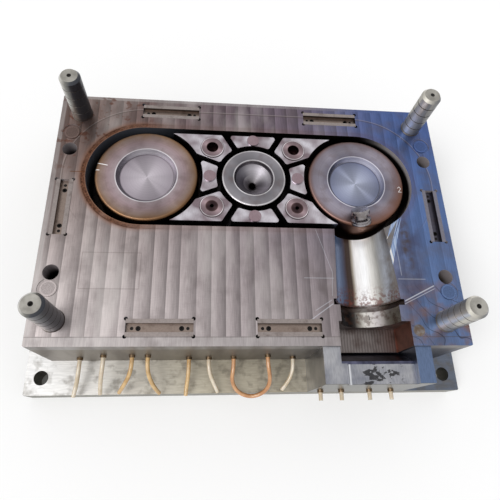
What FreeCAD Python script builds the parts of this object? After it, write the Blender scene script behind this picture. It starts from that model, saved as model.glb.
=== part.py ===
import FreeCAD, Part
import Sketcher
import math
import os

# Fixed (cavity) half of an injection mould for a double-chamber drain fitting.
# Millimetres. +Z up, +Y to the back. The origin is the centre of the clamp plate's
# underside, and the mould lies on that face with its parting face up.

# ---------------------------------------------------------------- driving sizes

SIZES = {
    # plates
    "plate_length": 800.0,
    "plate_width": 530.0,
    "plate_height": 156.0,
    "clamp_length": 887.0,
    "clamp_width": 662.0,
    "clamp_height": 50.0,
    "plate_bevel": 2.0,
    "clamp_hole_diameter": 28.0,
    "clamp_hole_end_margin": 30.0,
    "clamp_hole_side_margin": 33.0,
    "tie_hole_diameter": 29.0,
    "tie_hole_spacing_x": 744.0,
    "tie_hole_spacing_y": 263.0,
    # leader pins
    "leader_diameter": 40.0,
    "leader_shank_diameter": 42.0,
    "leader_reach": 108.5,
    "leader_spacing_x": 713.0,
    "leader_spacing_y": 440.0,
    "leader_head_diameter": 48.0,
    "leader_head_height": 10.0,
    "leader_nose_diameter": 31.0,
    "leader_nose_height": 6.0,
    "oil_groove_pitch": 21.0,
    "oil_groove_width": 2.0,
    "oil_groove_depth": 0.9,
    # stop pads under the return pins of the other half
    "pad_diameter": 31.0,
    "pad_thickness": 14.0,
    "pad_ring_diameter": 38.0,
    "pad_ring_depth": 1.2,
    "pad_spacing_x": 745.4,
    "pad_back_reach": 172.0,
    "pad_front_reach": 162.0,
    # side locks
    "lock_length": 118.0,
    "lock_width": 31.5,
    "lock_thickness": 20.0,
    "lock_channel_width": 16.0,
    "lock_channel_depth": 8.0,
    "lock_relief_radius": 3.5,
    "lock_screw_offset": 38.0,
    "lock_dowel_offset": 49.0,
    "lock_dowel_diameter": 6.0,
    "lock_dowel_length": 19.0,
    "lock_front_reach": 232.0,
    "lock_back_reach": 234.0,
    "lock_side_reach": 372.0,
    "lock_side_line": 2.0,
    "lock_left_line": -174.0,
    "lock_front_right_line": 58.0,
    "lock_back_right_line": 172.0,
    # stadium cavity and its round inserts
    "cavity_line": 79.0,
    "cavity_end": 223.0,
    "cavity_radius": 112.5,
    "cavity_depth": 70.0,
    "chamber_spacing": 434.0,
    "disc_radius": 103.5,
    "disc_drop": 3.0,
    "disc_rim_round": 7.0,
    "disc_recess_radius": 60.6,
    "disc_floor_radius": 55.0,
    "disc_recess_depth": 10.0,
    "gate_radius": 66.0,
    "gate_rim_round": 2.5,
    "funnel_mouth_radius": 41.0,
    "funnel_shoulder_radius": 37.0,
    "funnel_shoulder_depth": 8.0,
    "funnel_depth": 34.0,
    "gate_bore_radius": 7.0,
    # rib block between the chambers
    "rib_block_half_width": 101.0,
    "rib_block_drop": 0.5,
    "rib_block_end_cut": 45.0,
    "rib_base": 14.0,
    "rib_ring_radius": 77.0,
    "rib_steep_angle": 60.0,
    "rib_steep_width": 13.0,
    "rib_shallow_angle": 22.0,
    "rib_shallow_width": 11.0,
    "rib_corner_round": 5.0,
    "boss_radius": 12.5,
    "boss_height": 3.0,
    "boss_reach": 89.0,
    "boss_side_reach": 90.5,
    "corner_pin_radius": 24.5,
    "corner_pin_x": 85.5,
    "corner_pin_y": 69.0,
    "corner_pin_rise": 2.5,
    "corner_pin_bevel": 1.5,
    "corner_socket_radius": 12.0,
    "corner_socket_depth": 24.0,
    "corner_hole_radius": 4.0,
    # outlet pipe trough, rim groove, collar seat and slide pocket
    "trough_line": 212.0,
    "trough_mouth_radius": 62.0,
    "trough_back_radius": 52.5,
    "trough_length": 162.0,
    "rim_line": 177.0,
    "rim_radius": 68.5,
    "rim_width": 11.5,
    "collar_radius": 57.0,
    "collar_width": 31.0,
    "flank_outer": 273.5,
    "flank_front": 138.0,
    "flank_length": 150.0,
    "flank_yaw": 11.8,
    "flank_slope": 14.0,
    "slide_left": 149.0,
    "slide_right": 286.0,
    "slide_depth": 75.0,
    # heel block, wear plate and cheeks in front of the slide pocket
    "heel_angle": 20.0,
    "heel_drop": 18.0,
    "heel_right": 290.0,
    "heel_left": 159.0,
    "heel_bevel": 6.0,
    "wear_thickness": 5.0,
    "wear_bottom": 120.0,
    "cheek_drop": 6.0,
    "cheek_left": 117.0,
    "cheek_right": 320.5,
    # turned pin seated on the right disc's rim
    "turned_pin_x": 216.0,
    "turned_pin_y": -19.0,
    "turned_pin_radius": 19.5,
    "turned_pin_length": 30.0,
    "turned_neck_radius": 13.5,
    "turned_head_radius": 18.5,
    "turned_head_bevel": 2.0,
    "turned_groove_depth": 1.5,
    # round plug by the slide pocket
    "plug_x": 300.5,
    "plug_y": -237.0,
    "plug_radius": 11.0,
    "plug_depth": 12.0,
    # sprue bush and locating ring
    "ring_radius": 60.0,
    "ring_thickness": 12.0,
    "ring_bore_radius": 18.0,
    "ring_screw_circle": 46.0,
    "bush_head_radius": 28.0,
    "bush_head_height": 18.0,
    "bush_radius": 16.0,
    "bush_mouth_radius": 6.0,
    "bush_seat_radius": 12.8,
    # fasteners
    "plate_screw_diameter": 16.0,
    "plate_screw_x": 280.0,
    "plate_screw_y": 215.0,
    "plate_screw_grip": 28.0,
    "cheek_screw_diameter": 12.0,
    "cheek_screw_grip": 24.0,
    "small_screw_diameter": 6.0,
    "small_screw_sink": 0.5,
    "large_screw_sink": 1.0,
    "hole_relief": 1.0,
    "lock_screw_grip": 12.0,
    # cooling hoses
    "hose_diameter": 8.0,
    "nipple_collar_diameter": 12.0,
    "nipple_collar_length": 5.0,
    "nipple_thread_diameter": 7.0,
    "nipple_thread_length": 14.0,
    "stub_length": 15.0,
    # running clearance of everything that drops into a hole or pocket
    "fit_gap": 0.1,
}

# Cooling hoses, each a hand-laid route from its port on the plate's front face.
HOSES = {
    "hose_1": [(-334, -270, -119), (-334, -280, -119), (-335, -295, -122),
               (-337, -309, -128), (-340, -322, -134), (-343, -336, -138)],
    "hose_2": [(-284, -270, -89), (-284, -280, -89), (-285, -294, -92), (-287, -306, -99),
               (-289, -316, -110), (-291, -324, -123), (-293, -330, -137)],
    "hose_3": [(-231, -270, -90), (-231, -280, -90), (-232.5, -293, -92.5), (-237, -305, -99.5),
               (-244, -315, -109.5), (-251, -323, -121.5), (-257, -329, -134)],
    "hose_4": [(-202, -270, -92), (-202, -280, -92), (-201, -293, -94.5), (-198, -305, -101),
               (-193, -316, -110.5), (-187, -325, -122), (-181, -331, -135)],
    "hose_5": [(-125, -270, -119), (-125, -280, -119), (-125.5, -295, -122),
               (-127, -309, -128), (-129, -322, -134), (-130, -336, -138)],
    "hose_6": [(-86, -270, -121), (-86, -280, -121), (-84, -294, -124),
               (-79, -307, -129), (-73, -319, -134.5), (-67, -331, -138)],
    "hose_7": [(83, -270, -119), (83, -280, -119), (81, -294, -122),
               (76, -307, -127.5), (68.5, -318, -133), (60, -328, -137)],
    "hose_loop": [(-37, -270, -114), (-37, -280, -114), (-38.5, -294, -117), (-40, -307, -124),
                  (-36.5, -319, -132.5), (-27.5, -330, -140), (-13, -337, -144.5),
                  (3, -339, -144), (18.5, -335, -138.5), (29.5, -327, -128), (34, -316, -115.5),
                  (33, -304, -104), (30.5, -292, -96.5), (29, -280, -94), (29, -270, -94)],
}
# Stubs on the cheeks' and heel's front face: X and depth below the parting face.
STUBS = [(133.0, -112.0), (175.0, -112.0), (232.0, -112.0), (276.0, -112.0)]


class Size:
    """A length that keeps the spreadsheet expression it was worked out from."""

    def __init__(self, value, text):
        self.value = float(value)
        self.text = text

    def __add__(self, other):
        return Size(self.value + number(other), "(%s + %s)" % (self.text, wording(other)))

    def __radd__(self, other):
        return Size(number(other) + self.value, "(%s + %s)" % (wording(other), self.text))

    def __sub__(self, other):
        return Size(self.value - number(other), "(%s - %s)" % (self.text, wording(other)))

    def __rsub__(self, other):
        return Size(number(other) - self.value, "(%s - %s)" % (wording(other), self.text))

    def __mul__(self, other):
        return Size(self.value * number(other), "(%s * %s)" % (self.text, wording(other)))

    __rmul__ = __mul__

    def __truediv__(self, other):
        return Size(self.value / number(other), "(%s / %s)" % (self.text, wording(other)))

    def __neg__(self):
        return Size(-self.value, "(0 - %s)" % self.text)


def number(size):
    return size.value if isinstance(size, Size) else float(size)


def wording(size):
    return size.text if isinstance(size, Size) else "(%r)" % float(size)


doc = FreeCAD.newDocument("fixed_mould_half")
sheet = doc.addObject("Spreadsheet::Sheet", "sizes")
for row, (alias, value) in enumerate(SIZES.items(), start=1):
    sheet.set("A%d" % row, alias)
    sheet.set("B%d" % row, str(value))
    sheet.setAlias("B%d" % row, alias)
doc.recompute()

V = FreeCAD.Vector
nodes = {}


def size(alias):
    """The named cell, as a length that carries its expression."""
    return Size(SIZES[alias], "sizes." + alias)


def bind(thing, path, length):
    """Drive one property from the sheet, if the length came from it."""
    if isinstance(length, Size):
        thing.setExpression(path, length.text)


# ---------------------------------------------------------------- places used by several pieces

parting = size("clamp_height") + size("plate_height")
front = size("plate_width") / 2
cavity_floor = parting - size("cavity_depth")
line = size("cavity_line")
gap = size("fit_gap")
chamber_x = size("chamber_spacing") / 2
leader_x = size("leader_spacing_x") / 2
leader_y = size("leader_spacing_y") / 2
LEADERS = [(sx * leader_x, sy * leader_y) for sx in (-1, 1) for sy in (-1, 1)]
PADS = [(sx * size("pad_spacing_x") / 2, y) for sx in (-1, 1)
        for y in (size("pad_back_reach"), -size("pad_front_reach"))]
TIES = [(sx * size("tie_hole_spacing_x") / 2, sy * size("tie_hole_spacing_y") / 2)
        for sx in (-1, 1) for sy in (-1, 1)]
CORNERS = [(sx * size("corner_pin_x"), line + sy * size("corner_pin_y"))
           for sx in (-1, 1) for sy in (-1, 1)]
PLATE_SCREWS = [(sx * size("plate_screw_x"), sy * size("plate_screw_y"))
                for sx in (-1, 0, 1) for sy in (-1, 1)]
ring_step = size("ring_screw_circle") * math.cos(math.pi / 4)
RING_SCREWS = [(sx * ring_step, line + sy * ring_step) for sx in (-1, 1) for sy in (-1, 1)]
# Side locks: centre X, centre Y, turn about Z.
LOCKS = [(size("lock_left_line"), -size("lock_front_reach"), 0.0),
         (size("lock_front_right_line"), -size("lock_front_reach"), 0.0),
         (-size("lock_side_reach"), size("lock_side_line"), 90.0),
         (size("lock_side_reach"), size("lock_side_line"), 90.0),
         (size("lock_left_line"), size("lock_back_reach"), 0.0),
         (size("lock_back_right_line"), size("lock_back_reach"), 0.0)]
ledge_front = size("clamp_width") / 2
PIN_AXIS = V(-0.25, 0.68, 0.69)

# The wear plate's face leans back from the plate's front face at the heel angle.
heel_top = parting - size("heel_drop")
lean = math.tan(math.radians(SIZES["heel_angle"]))
wear_run = size("wear_thickness") / math.cos(math.radians(SIZES["heel_angle"]))
wear_foot = -front
wear_head = -(front + (heel_top - size("wear_bottom")) * lean)
left_cheek_mid = (size("cheek_left") + size("slide_left")) / 2
right_cheek_mid = (size("heel_right") + size("cheek_right")) / 2
heel_span = size("heel_right") - size("heel_left")
screw_back = front + (ledge_front - front) * 0.27
screw_front = front + (ledge_front - front) * 0.77
heel_screw = front + (ledge_front - front) * 0.62
CHEEK_SCREWS = [(left_cheek_mid, -screw_back), (left_cheek_mid, -screw_front),
                (right_cheek_mid, -screw_back), (right_cheek_mid, -screw_front),
                (size("heel_left") + heel_span * 0.25, -heel_screw),
                (size("heel_left") + heel_span * 0.75, -heel_screw)]
HEX_FLAT = 0.8


# ---------------------------------------------------------------- modelling helpers

def new_body(label):
    body = doc.addObject("PartDesign::Body", label)
    body.Label = label
    nodes[label] = body
    return body


def origin_plane(body, role):
    for feature in body.Origin.OriginFeatures:
        if feature.Role == role:
            return feature
    raise ValueError("no plane " + role)


def attach(thing, body, role, x=0.0, y=0.0, lift=0.0, turn=None):
    """Seat a sketch or primitive on one of its body's own planes, shifted in that plane."""
    thing.AttachmentSupport = [(origin_plane(body, role), "")]
    thing.MapMode = "FlatFace"
    turn = turn or FreeCAD.Rotation()
    thing.AttachmentOffset = FreeCAD.Placement(V(number(x), number(y), number(lift)), turn)
    bind(thing, "AttachmentOffset.Base.x", x)
    bind(thing, "AttachmentOffset.Base.y", y)
    bind(thing, "AttachmentOffset.Base.z", lift)


def new_sketch(body, name, role="XY_Plane", **where):
    sketch = body.newObject("Sketcher::SketchObject", name)
    attach(sketch, body, role, **where)
    return sketch


def hold_one(sketch, kind, geometry, point, length):
    at = sketch.addConstraint(Sketcher.Constraint(kind, -1, 1, geometry, point, number(length)))
    bind(sketch, "Constraints[%d]" % at, length)


def hold(sketch, geometry, point, x, y):
    """Dimension one point of a sketch from the sketch's origin."""
    hold_one(sketch, "DistanceX", geometry, point, x)
    hold_one(sketch, "DistanceY", geometry, point, y)


def draw_circle(sketch, x, y, radius):
    circle = sketch.addGeometry(
        Part.Circle(V(number(x), number(y), 0), V(0, 0, 1), number(radius)), False)
    at = sketch.addConstraint(Sketcher.Constraint("Radius", circle, number(radius)))
    bind(sketch, "Constraints[%d]" % at, radius)
    hold(sketch, circle, 3, x, y)


def draw_polygon(sketch, points):
    count = len(points)
    corners = [V(number(x), number(y), 0) for x, y in points]
    first = sketch.GeometryCount
    for i in range(count):
        sketch.addGeometry(Part.LineSegment(corners[i], corners[(i + 1) % count]), False)
    for i in range(count):
        sketch.addConstraint(
            Sketcher.Constraint("Coincident", first + i, 2, first + (i + 1) % count, 1))
    for i, (x, y) in enumerate(points):
        hold(sketch, first + i, 1, x, y)


def draw_rectangle(sketch, x0, y0, x1, y1):
    draw_polygon(sketch, [(x0, y0), (x1, y0), (x1, y1), (x0, y1)])


def draw_stadium(sketch, half_run, y, radius):
    """Two half circles on one line, joined by straight sides."""
    cx, cy, r = number(half_run), number(y), number(radius)
    axis = V(0, 0, 1)
    right = sketch.addGeometry(Part.ArcOfCircle(
        Part.Circle(V(cx, cy, 0), axis, r), -math.pi / 2, math.pi / 2), False)
    left = sketch.addGeometry(Part.ArcOfCircle(
        Part.Circle(V(-cx, cy, 0), axis, r), math.pi / 2, 3 * math.pi / 2), False)
    top = sketch.addGeometry(Part.LineSegment(V(cx, cy + r, 0), V(-cx, cy + r, 0)), False)
    low = sketch.addGeometry(Part.LineSegment(V(-cx, cy - r, 0), V(cx, cy - r, 0)), False)
    for a, pa, b, pb in ((right, 2, top, 1), (top, 2, left, 1), (left, 2, low, 1), (low, 2, right, 1)):
        sketch.addConstraint(Sketcher.Constraint("Coincident", a, pa, b, pb))
    hold_one(sketch, "DistanceX", right, 3, half_run)
    hold_one(sketch, "DistanceX", left, 3, -half_run)
    hold(sketch, top, 1, half_run, y + radius)
    hold(sketch, top, 2, -half_run, y + radius)
    hold(sketch, low, 1, -half_run, y - radius)
    hold(sketch, low, 2, half_run, y - radius)


def pad(body, sketch, length, name="pad"):
    feature = body.newObject("PartDesign::Pad", name)
    feature.Profile = sketch
    feature.Length = number(length)
    bind(feature, "Length", length)
    doc.recompute()
    return feature


def cut_check(body, before, name):
    """A cut that removed nothing, or everything, is an error."""
    doc.recompute()
    after = body.Shape.Volume
    if not 0 < after < before - 1e-6:
        raise ValueError("%s: %s removed nothing" % (body.Label, name))


def pocket(body, sketch, depth=None, upward=False, name="pocket"):
    """Cut a sketch down into the body, or up into it, to a depth or right through."""
    before = body.Shape.Volume
    feature = body.newObject("PartDesign::Pocket", name)
    feature.Profile = sketch
    if depth is None:
        feature.Type = "ThroughAll"
    else:
        feature.Length = number(depth)
        bind(feature, "Length", depth)
    feature.Reversed = upward
    cut_check(body, before, name)
    return feature


def drill(body, name, centres, radius, depth=None, lift=0.0, upward=False, role="XY_Plane"):
    """One pocket of round holes from a level of the body."""
    sketch = new_sketch(body, name + "_sketch", role, lift=lift)
    for x, y in centres:
        draw_circle(sketch, x, y, radius)
    return pocket(body, sketch, depth, upward, name)


def subtract_round(body, name, kind, role, x, y, lift, turn=None, **lengths):
    """Cut a cylinder or cone that stands on one of the body's planes."""
    before = body.Shape.Volume
    feature = body.newObject("PartDesign::Subtractive" + kind, name)
    attach(feature, body, role, x=x, y=y, lift=lift, turn=turn)
    for key, length in lengths.items():
        setattr(feature, key, number(length))
        bind(feature, key, length)
    cut_check(body, before, name)
    return feature


def stand(body, x=0.0, y=0.0, z=0.0, turn=None):
    """Put a body at its place in the mould."""
    body.Placement = FreeCAD.Placement(V(number(x), number(y), number(z)),
                                       turn or FreeCAD.Rotation())
    bind(body, "Placement.Base.x", x)
    bind(body, "Placement.Base.y", y)
    bind(body, "Placement.Base.z", z)


def turned(label, profile):
    """A lathe part: a profile of radius and height, revolved about Z."""
    body = new_body(label)
    sketch = new_sketch(body, label + "_profile", "XZ_Plane")
    draw_polygon(sketch, profile)
    feature = body.newObject("PartDesign::Revolution", label + "_revolution")
    feature.Profile = sketch
    feature.ReferenceAxis = (sketch, ["V_Axis"])
    feature.Angle = 360.0
    doc.recompute()
    return body


def dress(body, kind, edges, length, name):
    """Fillet or chamfer the edges of the body's tip that a test picks out."""
    base = body.Tip
    picked = ["Edge%d" % (i + 1) for i, edge in enumerate(base.Shape.Edges) if edges(edge)]
    if not picked:
        raise ValueError("%s: no edge for %s" % (body.Label, name))
    feature = body.newObject("PartDesign::" + kind, name)
    feature.Base = (base, picked)
    key = "Radius" if kind == "Fillet" else "Size"
    setattr(feature, key, number(length))
    bind(feature, key, length)
    doc.recompute()
    return feature


def is_circle_at(edge, radius, z):
    """True for a whole circle of that radius at that height."""
    if edge.Curve.TypeId != "Part::GeomCircle":
        return False
    return abs(edge.Curve.Radius - number(radius)) < 0.01 and abs(edge.Curve.Center.z - number(z)) < 0.01


def is_upright(edge, low, high):
    """True for a straight vertical edge between two levels."""
    if edge.Curve.TypeId != "Part::GeomLine":
        return False
    box = edge.BoundBox
    flat = box.XLength < 0.001 and box.YLength < 0.001
    return flat and box.ZMin > number(low) - 0.01 and box.ZMax < number(high) + 0.01


def shape_node(label, shape):
    """A node whose shape is worked out here."""
    feature = doc.addObject("Part::Feature", label)
    feature.Label = label
    feature.Shape = shape
    nodes[label] = feature
    return feature


def cap_screw(diameter, length):
    """A socket head cap screw, head down: underside of the head at z = 0, shank upward."""
    radius = number(diameter) / 2
    head = Part.makeCylinder(1.5 * radius, 2 * radius, V(0, 0, -2 * radius))
    shank = Part.makeCylinder(radius, number(length))
    across = HEX_FLAT * number(diameter)
    ring = [V(across / math.sqrt(3) * math.cos(math.radians(60 * i)),
              across / math.sqrt(3) * math.sin(math.radians(60 * i)), -2 * radius) for i in range(7)]
    socket = Part.Face(Part.makePolygon(ring)).extrude(V(0, 0, radius))
    return head.fuse(shank).removeSplitter().cut(socket)


def screw_group(label, screw, seats, turn=None):
    """One node that holds the same screw at every seat."""
    copies = []
    for seat in seats:
        copy = screw.copy()
        copy.Placement = FreeCAD.Placement(V(*[number(c) for c in seat]), turn or FreeCAD.Rotation())
        copies.append(copy)
    return shape_node(label, Part.makeCompound(copies))


# ---------------------------------------------------------------- plates

def lock_frame(lock):
    """Lock centre and its long direction as a unit step in X and Y."""
    x, y, turn = lock
    return x, y, round(math.cos(math.radians(turn))), round(math.sin(math.radians(turn)))


def lock_points(offset):
    """Both points at an offset along each lock's length."""
    points = []
    for lock in LOCKS:
        x, y, ux, uy = lock_frame(lock)
        points += [(x + side * offset * ux, y + side * offset * uy) for side in (-1, 1)]
    return points


def make_cavity_plate():
    body = new_body("cavity_plate")
    outline = new_sketch(body, "plate_outline", lift=size("clamp_height"))
    draw_rectangle(outline, -size("plate_length") / 2, -front, size("plate_length") / 2, front)
    pad(body, outline, size("plate_height"), "plate_block")
    dress(body, "Chamfer", lambda e: is_upright(e, size("clamp_height"), parting),
          size("plate_bevel"), "plate_corner_bevel")

    stadium = new_sketch(body, "cavity_outline", lift=parting)
    draw_stadium(stadium, size("cavity_end"), line, size("cavity_radius"))
    pocket(body, stadium, size("cavity_depth"), name="cavity")

    # the outlet pipe's half-round impression, laid along Y in the parting face
    trough = size("trough_line")
    trough_back = size("rim_line") - size("trough_length")
    subtract_round(body, "pipe_trough", "Cone", "XZ_Plane", trough, parting, trough_back,
                   Radius1=size("trough_back_radius"), Radius2=size("trough_mouth_radius"),
                   Height=size("trough_length"))
    subtract_round(body, "rim_groove", "Cylinder", "XZ_Plane", trough, parting, size("rim_line"),
                   Radius=size("rim_radius"), Height=size("rim_width"))
    collar_line = size("rim_line") + size("rim_width")
    subtract_round(body, "collar_seat", "Cylinder", "XZ_Plane", trough, parting, collar_line,
                   Radius=size("collar_radius"), Height=size("collar_width"))

    # a polished flank runs from the chamber to nothing along the trough's right edge
    turn = FreeCAD.Rotation(V(0, 0, 1), -SIZES["flank_yaw"]).multiply(
        FreeCAD.Rotation(V(0, 1, 0), -SIZES["flank_slope"]))
    flank = new_sketch(body, "flank_outline", x=size("flank_outer"), y=-size("flank_front"),
                       lift=parting, turn=turn)
    draw_rectangle(flank, -size("rim_radius") / 2, 0.0, 0.0, size("flank_length"))
    pocket(body, flank, size("rim_radius"), upward=True, name="flank")

    # the slide runs in from the front face
    slide = new_sketch(body, "slide_outline", lift=parting)
    slide_back = collar_line + size("collar_width")
    draw_rectangle(slide, size("slide_left"), -front - 1, size("slide_right"), -slide_back)
    pocket(body, slide, size("slide_depth"), name="slide_pocket")

    # round holes from the parting face
    drill(body, "leader_bores", LEADERS, size("leader_shank_diameter") / 2 + gap, lift=parting)
    drill(body, "leader_head_seats", LEADERS, size("leader_head_diameter") / 2 + gap,
          size("leader_head_height"), size("clamp_height"), upward=True)
    drill(body, "tie_holes", TIES, size("tie_hole_diameter") / 2, lift=parting)
    drill(body, "pad_rings", PADS, size("pad_ring_diameter") / 2, size("pad_ring_depth"), parting)
    drill(body, "pad_seats", PADS, size("pad_diameter") / 2 + gap, size("pad_thickness"), parting)
    drill(body, "plug_seat", [(size("plug_x"), size("plug_y"))], size("plug_radius") + gap,
          size("plug_depth"), parting)

    # side lock pockets with round reliefs in their corners
    pockets = new_sketch(body, "lock_pocket_outlines", lift=parting)
    reliefs = []
    half_long = size("lock_length") / 2 + gap
    half_wide = size("lock_width") / 2 + gap
    for lock in LOCKS:
        x, y, ux, uy = lock_frame(lock)
        hx = half_long * ux + half_wide * uy
        hy = half_long * uy + half_wide * ux
        draw_rectangle(pockets, x - hx, y - hy, x + hx, y + hy)
        reliefs += [(x + sx * hx, y + sy * hy) for sx in (-1, 1) for sy in (-1, 1)]
    pocket(body, pockets, size("lock_thickness"), name="lock_pockets")
    drill(body, "lock_reliefs", reliefs, size("lock_relief_radius"), size("lock_thickness"), parting)
    lock_floor = parting - size("lock_thickness")
    relief = size("hole_relief")
    drill(body, "lock_screw_holes", lock_points(size("lock_screw_offset")),
          size("small_screw_diameter") / 2 + gap, size("lock_screw_grip") + relief, lock_floor)
    dowel_grip = size("lock_dowel_length") - size("lock_thickness") + size("lock_channel_depth")
    drill(body, "lock_dowel_holes", lock_points(size("lock_dowel_offset")),
          size("lock_dowel_diameter") / 2 + gap, dowel_grip + relief, lock_floor)

    # from the back: sprue bush and plate screws
    drill(body, "bush_bore", [(0.0, line)], size("bush_radius") + gap, lift=cavity_floor)
    drill(body, "plate_screw_holes", PLATE_SCREWS, size("plate_screw_diameter") / 2 + gap,
          size("plate_screw_grip") + 2 * relief, size("clamp_height"), upward=True)

    # cooling ports in the front face
    ports = [(x, parting + z) for x, z in port_places()]
    drill(body, "cooling_ports", ports, size("nipple_thread_diameter") / 2 + gap,
          size("nipple_thread_length") + relief, front, role="XZ_Plane")


def port_places():
    """X and depth of every hose port: the first point of each route, and the loop's last."""
    places = [(route[0][0], route[0][2]) for route in HOSES.values()]
    last = HOSES["hose_loop"][-1]
    return places + [(last[0], last[2])]


def make_clamp_plate():
    body = new_body("clamp_plate")
    outline = new_sketch(body, "clamp_outline")
    half = size("clamp_length") / 2
    draw_rectangle(outline, -half, -ledge_front, half, ledge_front)
    pad(body, outline, size("clamp_height"), "clamp_block")
    dress(body, "Chamfer", lambda e: is_upright(e, 0, size("clamp_height")),
          size("plate_bevel"), "clamp_corner_bevel")
    hole_x = half - size("clamp_hole_end_margin")
    hole_y = ledge_front - size("clamp_hole_side_margin")
    corners = [(sx * hole_x, sy * hole_y) for sx in (-1, 1) for sy in (-1, 1)]
    drill(body, "clamp_holes", corners, size("clamp_hole_diameter") / 2, lift=size("clamp_height"))
    for name, seats, thread, grip in (
            ("plate_screw", PLATE_SCREWS, size("plate_screw_diameter"), size("plate_screw_grip")),
            ("cheek_screw", CHEEK_SCREWS, size("cheek_screw_diameter"), size("cheek_screw_grip"))):
        drill(body, name + "_clearance", seats, thread / 2 + gap, lift=size("clamp_height"))
        drill(body, name + "_seats", seats, thread * 0.75 + gap,
              thread + size("large_screw_sink"), upward=True)
    drill(body, "ring_seat", [(0.0, line)], size("ring_radius") + gap, size("ring_thickness"), upward=True)
    drill(body, "bush_head_seat", [(0.0, line)], size("bush_head_radius") + gap,
          size("bush_head_height"), size("ring_thickness"), upward=True)
    drill(body, "bush_clearance", [(0.0, line)], size("bush_radius") + gap, lift=size("clamp_height"))
    drill(body, "ring_screw_holes", RING_SCREWS, size("small_screw_diameter") / 2 + gap,
          size("lock_screw_grip") + size("hole_relief"), size("ring_thickness"), upward=True)


# ---------------------------------------------------------------- guiding and locking

def make_leader_pins():
    """Shouldered pins with oil grooves: the thicker shank is pressed in from the plate's back."""
    radius = size("leader_diameter") / 2
    shank = size("leader_shank_diameter") / 2
    nose = size("leader_nose_diameter") / 2
    foot = size("leader_head_height")
    height = size("plate_height")
    tip = height + size("leader_reach")
    profile = [(0.0, 0.0), (size("leader_head_diameter") / 2, 0.0), (size("leader_head_diameter") / 2, foot),
               (shank, foot), (shank, height), (radius, height)]
    groove = radius - size("oil_groove_depth")
    slope = size("oil_groove_width") / 4
    for i in range(1, 5):
        level = height + size("oil_groove_pitch") * i
        profile += [(radius, level), (groove, level + slope), (groove, level + 3 * slope),
                    (radius, level + 4 * slope)]
    centre_mark = size("leader_nose_height") * 0.45
    profile += [(radius, tip - size("leader_nose_height")), (nose, tip), (centre_mark, tip),
                (0.0, tip - centre_mark)]
    for i, (x, y) in enumerate(LEADERS, start=1):
        stand(turned("leader_pin_%d" % i, profile), x, y, size("clamp_height"))


def make_stop_pads():
    """Hardened round pads, flush with the parting face."""
    radius = size("pad_diameter") / 2
    thickness = size("pad_thickness")
    for i, (x, y) in enumerate(PADS, start=1):
        pad_body = turned("return_pad_%d" % i,
                          [(0.0, 0.0), (radius, 0.0), (radius, thickness), (0.0, thickness)])
        stand(pad_body, x, y, parting - thickness)


def make_side_locks():
    """Female lock bars: a channel between two rails, screwed and dowelled in their pockets."""
    half_long = size("lock_length") / 2
    half_wide = size("lock_width") / 2
    channel = size("lock_channel_width") / 2
    floor = size("lock_thickness") - size("lock_channel_depth")
    head = size("small_screw_diameter")
    sink = size("small_screw_sink")
    for i, lock in enumerate(LOCKS, start=1):
        body = new_body("side_lock_%d" % i)
        section = new_sketch(body, "lock_section_%d" % i, "YZ_Plane", lift=-half_long)
        draw_polygon(section, [(-half_wide, 0.0), (half_wide, 0.0), (half_wide, size("lock_thickness")),
                               (channel, size("lock_thickness")), (channel, floor), (-channel, floor),
                               (-channel, size("lock_thickness")), (-half_wide, size("lock_thickness"))])
        pad(body, section, size("lock_length"), "lock_bar_%d" % i)
        screws = [(side * size("lock_screw_offset"), 0.0) for side in (-1, 1)]
        dowels = [(side * size("lock_dowel_offset"), 0.0) for side in (-1, 1)]
        drill(body, "lock_screw_clearance_%d" % i, screws, head / 2 + gap, lift=floor)
        drill(body, "lock_screw_seats_%d" % i, screws, head * 0.75 + gap, head + sink, floor)
        drill(body, "lock_dowel_bores_%d" % i, dowels, size("lock_dowel_diameter") / 2 + gap, lift=floor)
        x, y, turn = lock
        stand(body, x, y, parting - size("lock_thickness"), FreeCAD.Rotation(V(0, 0, 1), turn))

    upside_down = FreeCAD.Rotation(V(1, 0, 0), 180)
    seat = parting - size("lock_channel_depth") - head - sink
    length = seat - (parting - size("lock_thickness")) + size("lock_screw_grip")
    screw = cap_screw(head, length)
    screw_group("side_lock_screws", screw,
                [(x, y, seat) for x, y in lock_points(size("lock_screw_offset"))], upside_down)
    dowel = Part.makeCylinder(SIZES["lock_dowel_diameter"] / 2, SIZES["lock_dowel_length"])
    top = parting - size("lock_channel_depth")
    screw_group("side_lock_dowels", dowel,
                [(x, y, top) for x, y in lock_points(size("lock_dowel_offset"))], upside_down)


# ---------------------------------------------------------------- cavity inserts

def make_discs():
    """Round chamber inserts with a rounded rim and a shallow dished recess."""
    height = size("cavity_depth") - size("disc_drop")
    profile = [(0.0, 0.0), (size("disc_radius"), 0.0), (size("disc_radius"), height),
               (size("disc_recess_radius"), height),
               (size("disc_floor_radius"), height - size("disc_recess_depth")),
               (0.0, height - size("disc_recess_depth"))]
    for label, side in (("left_disc", -1), ("right_disc", 1)):
        body = turned(label, profile)
        dress(body, "Fillet", lambda e: is_circle_at(e, size("disc_radius"), height),
              size("disc_rim_round"), label + "_rim")
        if side > 0:
            # a slanting spot face on the front rim carries the turned pin
            subtract_round(body, "turned_pin_seat", "Cylinder", "XY_Plane",
                           size("turned_pin_x") - chamber_x, size("turned_pin_y") - line,
                           size("cavity_depth"), turn=FreeCAD.Rotation(V(0, 0, 1), PIN_AXIS),
                           Radius=size("turned_pin_radius") + gap, Height=size("turned_pin_length") * 2)
        stand(body, side * chamber_x, line, cavity_floor)


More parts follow.
